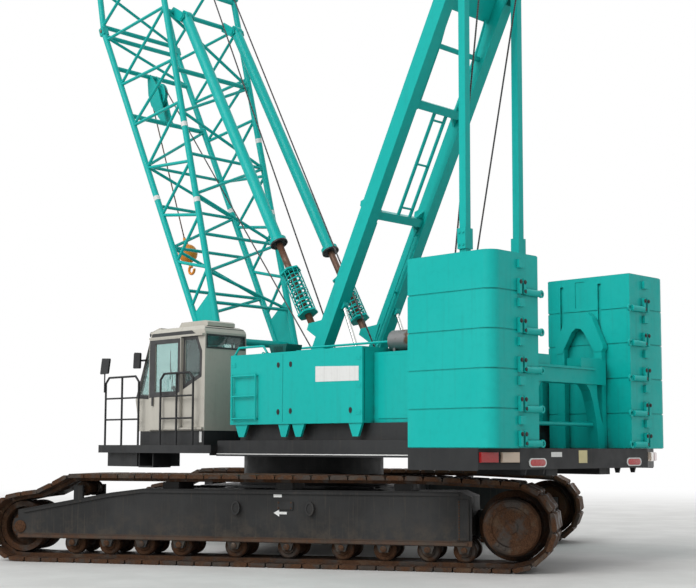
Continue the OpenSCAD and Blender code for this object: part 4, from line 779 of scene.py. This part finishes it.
# House doors: latches and hinges. FRONT_LATCHES and REAR_LATCHES are their (y, z) places.
FRONT_LATCHES = ((1.20, 2.19), (1.20, 2.89))
REAR_LATCHES = ((1.47, 2.20), (2.71, 2.19), (1.47, 2.89))
for side, door, latches, hinge_y, inward in (
        (1, "door_left_front", FRONT_LATCHES, 0.12, 1),
        (1, "door_left_rear", REAR_LATCHES, 2.92, -1),
        (-1, "door_right_front", FRONT_LATCHES, 0.12, 1),
        (-1, "door_right_rear", REAR_LATCHES, 2.92, -1)):
    handle = Piece(f"{door}_handles", door, "teal", PLASTIC)
    recess = oval(0, 0, 0.030, 0.042, 20)
    for y, z in latches:
        at = facing(side * HOUSE_X, y, z, outward(side))
        handle.ring(recess, [(a * 0.7, b * 0.75) for a, b in recess], -SUNK, 0.007, at)
        handle.prism([(a * 0.66, b * 0.7) for a, b in recess], -SUNK, 0.003, at)
        handle.box((-0.006, -0.026, 0.002), (0.006, 0.026, 0.009), at)
    handle.make()
    hinges = Piece(f"{door}_hinges", door, "teal", MAT["teal"])
    for z in (2.16, 2.54, 2.93):
        at = facing(side * HOUSE_X, hinge_y + inward * 0.055, z, outward(side))
        hinges.box((-0.05, -0.035, -SUNK), (0.05, 0.035, 0.005), at)
        for u in (-0.03, 0.03):
            hinges.bolt(at @ Matrix.Translation((u, 0.0, 0.005)), 0.007, 0.006)
    hinges.make()

# House roofs: intake hoods with their slots, hatch edges and lifting eyes
hood = Piece("intake_hoods", "upper", "teal", DARK_TEAL)
roof = Piece("hatch_edges", "upper", "teal", RUBBER)
for side in (-1, 1):
    at = Matrix.Diagonal((side, 1, 1, 1))
    hood.prism([(0.926, 3.0795), (1.239, 3.0795), (1.275, 3.196), (1.275, 3.212),
                (0.880, 3.212), (0.880, 3.196)], 1.486, 1.804, at @ SIDE)
    for i in range(6):
        hood.box((1.8035, 0.985, 3.098 + i * 0.015), (1.812, 1.185, 3.104 + i * 0.015), at)
    for y in (1.45, 2.16):
        roof.box((1.345, y + 0.26, 3.1015), (1.425, y + 0.34, 3.112), at)
hood.make(bevel=0.004)
roof.make()
eyes = Piece("roof_lifting_eyes", "upper", "teal")
eye_loop = oval(0, 0.04, 0.03, 0.03, 20)
for side in (-1, 1):
    for y in (0.32, 2.80):
        at = Matrix.Translation((side * 1.42, y, 3.079))
        eyes.lathe([(CORE, 0), (0.04, 0), (0.04, 0.008), (0.018, 0.016), (CORE, 0.018)], 20, at)
        eyes.tube([(x, 0, z) for x, z in eye_loop + eye_loop[:1]], 0.009, 8, at)
eyes.make()

# Mast: raising struts, foot pins, and the pins of the links
strut_rods = Piece("mast_strut_rods", "upper", "bare_steel", CHROME)
strut_tubes = Piece("mast_strut_tubes", "upper", "teal", WHITE)
brackets = Piece("mast_strut_brackets", "upper", "teal")
for side in (-1, 1):
    x = side * 0.61
    strut_low, strut_mid = Vector((x, 1.775, 2.72)), Vector((x, 1.60, 3.14))
    strut_top = Vector((x, 1.285, 3.885))
    strut_rods.tube([strut_mid, strut_top], 0.030, 20)
    tube_len = (strut_mid - strut_low).length
    strut_tubes.lathe([(0.052, 0), (0.056, 0.01), (0.056, tube_len - 0.05),
                       (0.064, tube_len - 0.045), (0.064, tube_len), (0.034, tube_len + 0.004)],
                      24, along(strut_low, strut_mid))
    for p in (strut_low, strut_top):
        brackets.lathe([(0.030, -0.05), (0.062, -0.05), (0.062, 0.05), (0.030, 0.05)], 24,
                       facing(p.x, p.y, p.z, "x"))
    brackets.prism([(1.66, 2.385), (1.90, 2.385), (1.85, 2.76), (1.775, 2.80), (1.70, 2.76)],
                   side * 0.675, side * 0.700, SIDE)
    x0, x1 = sorted((side * 0.69, side * 0.80))
    brackets.box((x0, 1.70, 2.38), (x1, 1.85, 2.41))
strut_rods.make()
strut_tubes.make()
brackets.make(bevel=0.003)
mast_pins = Piece("mast_pin_caps", "upper", "teal")
for side in (-1, 1):
    at = facing(side * 0.7705, MAST_FOOT.y, MAST_FOOT.z, outward(side))
    mast_pins.cap(at, 0.075, 0.012, 0.06, 0.018)
    mast_pins.bolts(at, 0.048, 4, 0.009, 0.01, 0.015)
    mast_pins.lathe([(CORE, 0), (0.07, 0), (0.07, 0.012), (CORE, 0.02)], 24,
                    facing(side * 0.731, MAST_HEAD.y, MAST_HEAD.z, outward(side)))
    for z in (4.56, 4.74):
        for y in (-0.035, 0.035):
            mast_pins.bolt(facing(side * 0.7155, MAST_HEAD.y + y, z, outward(side)),
                           0.016, 0.014)
mast_pins.make()

# Light tray between the mast's legs: two rails with rungs, a bar and two stays
TRAY_X, TRAY_BAR_S = -0.27, 5.83
tray = Piece("mast_tray", "upper", "teal", None, IN_MAST)
for x in (0.0, TRAY_X):
    tray.tube([(x, 0, 3.178), (x, 0, 4.852)], 0.028, 12)
for s in (3.30, 4.02, 4.74):
    tray.tube([(TRAY_X, 0, s), (0.0, 0, s)], 0.018, 10)
tray.tube([(-0.532, 0, TRAY_BAR_S), (0.532, 0, TRAY_BAR_S)], 0.040, 16)
for x in (-0.42, 0.42):
    tray.tube([(x, 0.02, 4.978), (x, 0.02, TRAY_BAR_S), (x, -0.04, 6.42)], 0.018, 10)
tray.make()

# Counterweights: bolts and pins of the couplers, the lowest set a little higher
COUPLER_Z, SLAB_RISE, COUPLER_FACE = 1.66, 0.504, TAIL_REAR + 0.052
PIN_X, BOLT_X = 1.4475, (1.4475, 1.5375)
coupler = Piece("coupler_bolts", "upper", "ballast", DARK_BOLT)
for side in (-1, 1):
    for i in range(5):
        z = COUPLER_Z + i * SLAB_RISE + (0.06 if i == 0 else 0)
        for x in BOLT_X:
            coupler.bolt(facing(side * x, COUPLER_FACE, z + 0.12, "y"), 0.020, 0.014)
        coupler.lathe([(CORE, 0), (0.022, 0), (0.022, 0.011), (CORE, 0.014)], 16,
                      facing(side * PIN_X, COUPLER_FACE, z, "y"))
coupler.make()

# Cab: window seals. Outlines of [y, z] points lie on its outer side, and rectangles round the
# panes at its front, its rear and its inner side.
PANE_X = CAB_X - CAB_W + 0.08
SEAL_IN, SEAL_OUT = CAB_X - SUNK, CAB_X + 0.004
front_in = [(-2.305, 2.540), (-2.020, 2.520), (-2.020, 3.330), (-2.040, 3.330)]
front_out = [(-2.385, 2.485), (-1.985, 2.460), (-1.985, 3.440), (-2.012, 3.440)]
rear_in = [(-1.075, 2.680), (-0.690, 2.830), (-0.690, 3.180), (-0.790, 3.400), (-1.075, 3.400)]
rear_out = [(-1.112, 2.600), (-0.640, 2.790), (-0.632, 3.200), (-0.765, 3.470), (-1.112, 3.445)]
top_strip = [(-1.975, 3.486), (-0.800, 3.486), (-0.900, 3.545), (-1.950, 3.545)]
screen = Matrix.Translation((PANE_X, -2.30, 2.53)) @ Matrix.Rotation(math.radians(-21.2), 4, "X")
lower_pane = (Matrix.Translation((PANE_X, -2.25, 2.06))
              @ Matrix.Rotation(math.radians(12.8), 4, "X"))
rear_pane = facing(CAB_X - CAB_W / 2, CAB_REAR, 3.36, "y")
inner_pane = facing(CAB_X - CAB_W, -1.25, 3.04, "-x")
window_trim = Piece("cab_window_trim", "upper", "cab_paint", PLASTIC)
window_trim.ring(front_out, front_in, SEAL_IN, SEAL_OUT, SIDE)
window_trim.ring(rear_out, rear_in, SEAL_IN, SEAL_OUT, SIDE)
window_trim.prism(top_strip, SEAL_IN, SEAL_OUT, SIDE)
for outer, inner, z0, z1, place in (
        ((-0.035, -0.035, 0.735, 1.015), (0.002, 0.002, 0.698, 0.978),
         0.055, 0.076, screen @ FLAT),
        ((-0.025, -0.025, 0.725, 0.355), (0.002, 0.002, 0.698, 0.328),
         0.042, 0.066, lower_pane @ FLAT),
        ((-0.405, -0.115, 0.405, 0.115), (-0.378, -0.088, 0.378, 0.088),
         -0.020, 0.008, rear_pane),
        ((-0.365, -0.475, 0.365, 0.475), (-0.338, -0.448, 0.338, 0.448),
         -0.020, 0.006, inner_pane)):
    window_trim.ring(rectangle(*outer), rectangle(*inner), z0, z1, place)
window_trim.make()
door_in = [(-1.810, 2.570), (-1.290, 2.570), (-1.200, 2.600), (-1.200, 3.360), (-1.810, 3.360)]
door_out = [(-1.955, 2.480), (-1.300, 2.500), (-1.145, 2.560), (-1.145, 3.430), (-1.955, 3.430)]
door_trim = Piece("door_window_trim", "cab_door", "cab_paint", PLASTIC)
door_trim.ring(door_out, door_in, CAB_X + 0.0455, CAB_X + 0.050, SIDE)
door_trim.prism(rectangle(-1.865, 2.345, -1.825, 2.485), CAB_X + 0.0655, CAB_X + 0.072, SIDE)
door_trim.make()

# Cab: wiper and work lamps
wiper = Piece("cab_wiper", "upper", "cab_paint", PLASTIC)
wiper.tube([(0.06, -0.078, -0.02), (0.10, -0.085, 0.30), (0.24, -0.080, 0.56)], 0.007, 8, screen)
wiper.tube([(0.16, -0.073, 0.30), (0.30, -0.073, 0.80)], 0.006, 8, screen)
wiper.lathe([(0.02, -0.012), (0.024, 0), (0.02, 0.014), (CORE, 0.018)], 16,
            screen @ Matrix.Translation((0.06, -0.072, -0.02)))
wiper.make()
lamps = Piece("cab_work_lamp", "upper", "cab_paint", PLASTIC)
lamp_lenses = Piece("cab_work_lamp_lens", "upper", "lamp", CLEAR)
for x in (1.75, 1.15):
    at = facing(x, -2.10, 3.55, "-y")
    lamps.lathe([(CORE, -0.05), (0.035, -0.045), (0.055, 0.0), (0.058, 0.03), (0.050, 0.032)],
                24, at)
    lamps.tube([(x, -2.06, 3.50), (x, -2.02, 3.47)], 0.010, 8)
    lamp_lenses.lathe([(CORE, 0.026), (0.03, 0.030), (0.049, 0.026), (0.050, 0.018),
                       (CORE, 0.016)], 24, at)
lamps.make()
lamp_lenses.make()

# Cab: seat base between its consoles with their levers, and the display on its post
SEAT_X, CONSOLE_W = 1.45, 0.10
seat = Piece("cab_seat_base", "upper", "seat", PLASTIC)
seat.prism(rectangle(1.33, -1.33, 1.57, -1.08), 1.982, 2.20)
seat.tube([(SEAT_X, -1.2, 1.985), (SEAT_X, -1.2, 2.20)], 0.10, 20)
for x in (1.12, 1.685):
    seat.prism([(-1.60, 1.985), (-1.05, 1.985), (-1.05, 2.40), (-1.55, 2.47), (-1.60, 2.44)],
               x, x + CONSOLE_W, SIDE)
    seat.tube([(x + 0.05, -1.52, 2.44), (x + 0.05, -1.54, 2.62)], 0.012, 10)
    seat.lathe([(CORE, 0), (0.022, 0.005), (0.027, 0.04), (0.02, 0.07), (CORE, 0.078)], 16,
               Matrix.Translation((x + 0.05, -1.54, 2.60)))
seat.tube([(1.16, -1.95, 2.0), (1.16, -1.93, 2.62)], 0.018, 10)
seat.prism([(-1.96, 2.60), (-1.93, 2.60), (-1.90, 2.80), (-1.93, 2.80)], 1.075, 1.29, SIDE)
base = seat.make(bevel=0.004)
display = Piece("cab_display_face", "upper", "seat", SCREEN)
display.prism([(-1.930, 2.625), (-1.9275, 2.625), (-1.9025, 2.780), (-1.905, 2.780)],
              1.09, 1.275, SIDE)
display.make()
faces = Piece("mirror_faces", "upper", "frame_paint", MIRROR)
faces.prism([(-2.367, 3.010), (-2.354, 3.225), (-2.225, 3.225), (-2.235, 3.005)],
            CAB_X + 0.0385, CAB_X + 0.0402, SIDE)
faces.prism([(-3.205, 2.940), (-3.160, 3.168), (-2.980, 3.160), (-3.020, 2.940)],
            2.0075, 2.0092, SIDE)
faces.make()

PAD_STEPS = 28
SIDE_PULL, SEAM_DEPTH, SEAM_WIDTH = 0.045, 0.010, 0.035


def cushion(name, size, y, z, tilt, crown, seams):
    """A crowned pad: sides pull in between the corners, and sewn channels cross its face."""
    half = [v / 2 for v in size]
    rows = []
    for i in range(PAD_STEPS + 1):
        # v runs along the pad, a across it, and b through its thickness
        v = -1 + 2 * i / PAD_STEPS
        soft = (1 - abs(v) ** 6) ** 0.5 if abs(v) < 1 else 0.0
        channel = sum(SEAM_DEPTH * math.exp(-((v - s) / SEAM_WIDTH) ** 2) for s in seams)
        row = []
        for k in range(4 * PAD_STEPS):
            t = (k % PAD_STEPS) / PAD_STEPS * 2 - 1
            a, b = ((t, -1), (1, t), (-t, 1), (-1, -t))[k // PAD_STEPS]
            pull = 1 - SIDE_PULL * (1 - t * t)
            swell = crown * (1 - min(1, abs(a)) ** 2) * (1 - v * v)
            depth = b * (half[1] * (0.55 + 0.45 * soft)) + (swell - channel) * max(0.0, b)
            row.append((a * half[0] * (0.90 + 0.10 * soft) * pull, depth, v * half[2]))
        rows.append(row)
    pad = Piece(name, "upper", "seat")
    place = Matrix.Translation((SEAT_X, y, z)) @ Matrix.Rotation(math.radians(tilt), 4, "X")
    pad.strips(rows, 4 * PAD_STEPS, place @ Matrix.Rotation(math.pi, 4, "Z"))
    obj = pad.make(smooth=75)
    return obj


seat_pads = [
    cushion("seat_cushion", (0.44, 0.12, 0.50), -1.30, 2.29, 94, 0.022, (-0.45, 0.0, 0.45)),
    cushion("seat_back", (0.43, 0.10, 0.66), -0.985, 2.66, -9, 0.022, (-0.5, -0.1, 0.3)),
    cushion("seat_headrest", (0.26, 0.08, 0.17), -0.925, 3.08, -9, 0.015, ()),
]
for piece in (base, *seat_pads):
    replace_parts(piece, "cab_seat")

# Camera, as fitted to the photo
EYE = (14.5779, 15.1645, 1.6538)
HEADING, PITCH, ROLL = (math.radians(a) for a in (44.6117, 5.2391, 0.1491))
scene = bpy.context.scene
ahead = Vector((-math.cos(HEADING) * math.cos(PITCH), -math.sin(HEADING) * math.cos(PITCH),
                math.sin(PITCH)))
level = ahead.cross(Vector((0, 0, 1))).normalized()
upright = level.cross(ahead)
right = level * math.cos(ROLL) + upright * math.sin(ROLL)
up = upright * math.cos(ROLL) - level * math.sin(ROLL)
camera_data = bpy.data.cameras.new("camera")
camera_data.sensor_width = 36
camera_data.lens = 65.382
camera_data.shift_y = 38.426 / 696
camera_data.clip_end = 400
camera = bpy.data.objects.new("camera", camera_data)
camera.matrix_world = Matrix.Translation(EYE) @ Matrix(
    ((right.x, up.x, -ahead.x), (right.y, up.y, -ahead.y), (right.z, up.z, -ahead.z))).to_4x4()
scene.collection.objects.link(camera)
scene.camera = camera


def seen_plainly(tree):
    """1 for rays that should meet plain white: from the camera, off gloss and through glass."""
    path = tree.nodes.new("ShaderNodeLightPath")
    seen = path.outputs["Is Camera Ray"]
    for ray in ("Is Glossy Ray", "Is Transmission Ray"):
        both = tree.nodes.new("ShaderNodeMath")
        both.operation = "MAXIMUM"
        tree.links.new(seen, both.inputs[0])
        tree.links.new(path.outputs[ray], both.inputs[1])
        seen = both.outputs[0]
    return seen


# World, lights and floor
SKY, SKY_STRENGTH = (0.94, 0.97, 1.0, 1), 0.54
world = bpy.data.worlds.new("studio")
world.use_nodes = True
scene.world = world
world_tree = world.node_tree
sky = world_tree.nodes["Background"]
sky.inputs["Color"].default_value = SKY
sky.inputs["Strength"].default_value = SKY_STRENGTH
white_sky = world_tree.nodes.new("ShaderNodeBackground")
white_sky.inputs["Color"].default_value = (1, 1, 1, 1)
sky_mix = world_tree.nodes.new("ShaderNodeMixShader")
world_tree.links.new(seen_plainly(world_tree), sky_mix.inputs[0])
world_tree.links.new(sky.outputs[0], sky_mix.inputs[1])
world_tree.links.new(white_sky.outputs[0], sky_mix.inputs[2])
world_tree.links.new(sky_mix.outputs[0], world_tree.nodes["World Output"].inputs["Surface"])

for sun_name, shines, strength, spread in (("key", (-1.0, 0.05, -0.85), 2.1, 45),
                                           ("fill", (0.8, 0.5, -0.9), 0.35, 90)):
    light = bpy.data.lights.new(sun_name, "SUN")
    light.energy = strength
    light.angle = math.radians(spread)
    sun = bpy.data.objects.new(sun_name, light)
    sun.rotation_euler = Vector(shines).to_track_quat("-Z", "Y").to_euler()
    scene.collection.objects.link(sun)

# The floor turns plain white between FADE_FROM and FADE_TO metres from the middle
FLOOR_HALF, FADE_FROM, FADE_TO = 180.0, 10.0, 34.0
floor_mesh = bpy.data.meshes.new("floor")
floor_mesh.from_pydata([(x, y, 0) for x, y in rectangle(-FLOOR_HALF, -FLOOR_HALF,
                                                        FLOOR_HALF, FLOOR_HALF)],
                       [], [[0, 1, 2, 3]])
floor = bpy.data.objects.new("floor", floor_mesh)
scene.collection.objects.link(floor)
ground = Graph("pale_floor")
ground.done(ground.mix(ground.fit(ground.noise(0.8, 6, rough=0.6), 0.35, 0.7),
                       (0.58, 0.57, 0.55), (0.66, 0.65, 0.63)), 0.75)
distance = ground.add("ShaderNodeVectorMath", operation="LENGTH")
ground.put(distance.inputs[0], ground.at)
far = ground.fit(distance.outputs["Value"], FADE_FROM, FADE_TO)
plain_white = ground.add("ShaderNodeEmission")
floor_mix = ground.add("ShaderNodeMixShader")
ground.put(floor_mix.inputs[0], ground.calc("MULTIPLY", far, seen_plainly(ground.tree)))
ground.put(floor_mix.inputs[1], ground.bsdf.outputs[0])
ground.put(floor_mix.inputs[2], plain_white.outputs[0])
ground.put(ground.tree.nodes["Material Output"].inputs["Surface"], floor_mix.outputs[0])
floor_mesh.materials.append(ground.mat)

scene.view_settings.view_transform = "Standard"
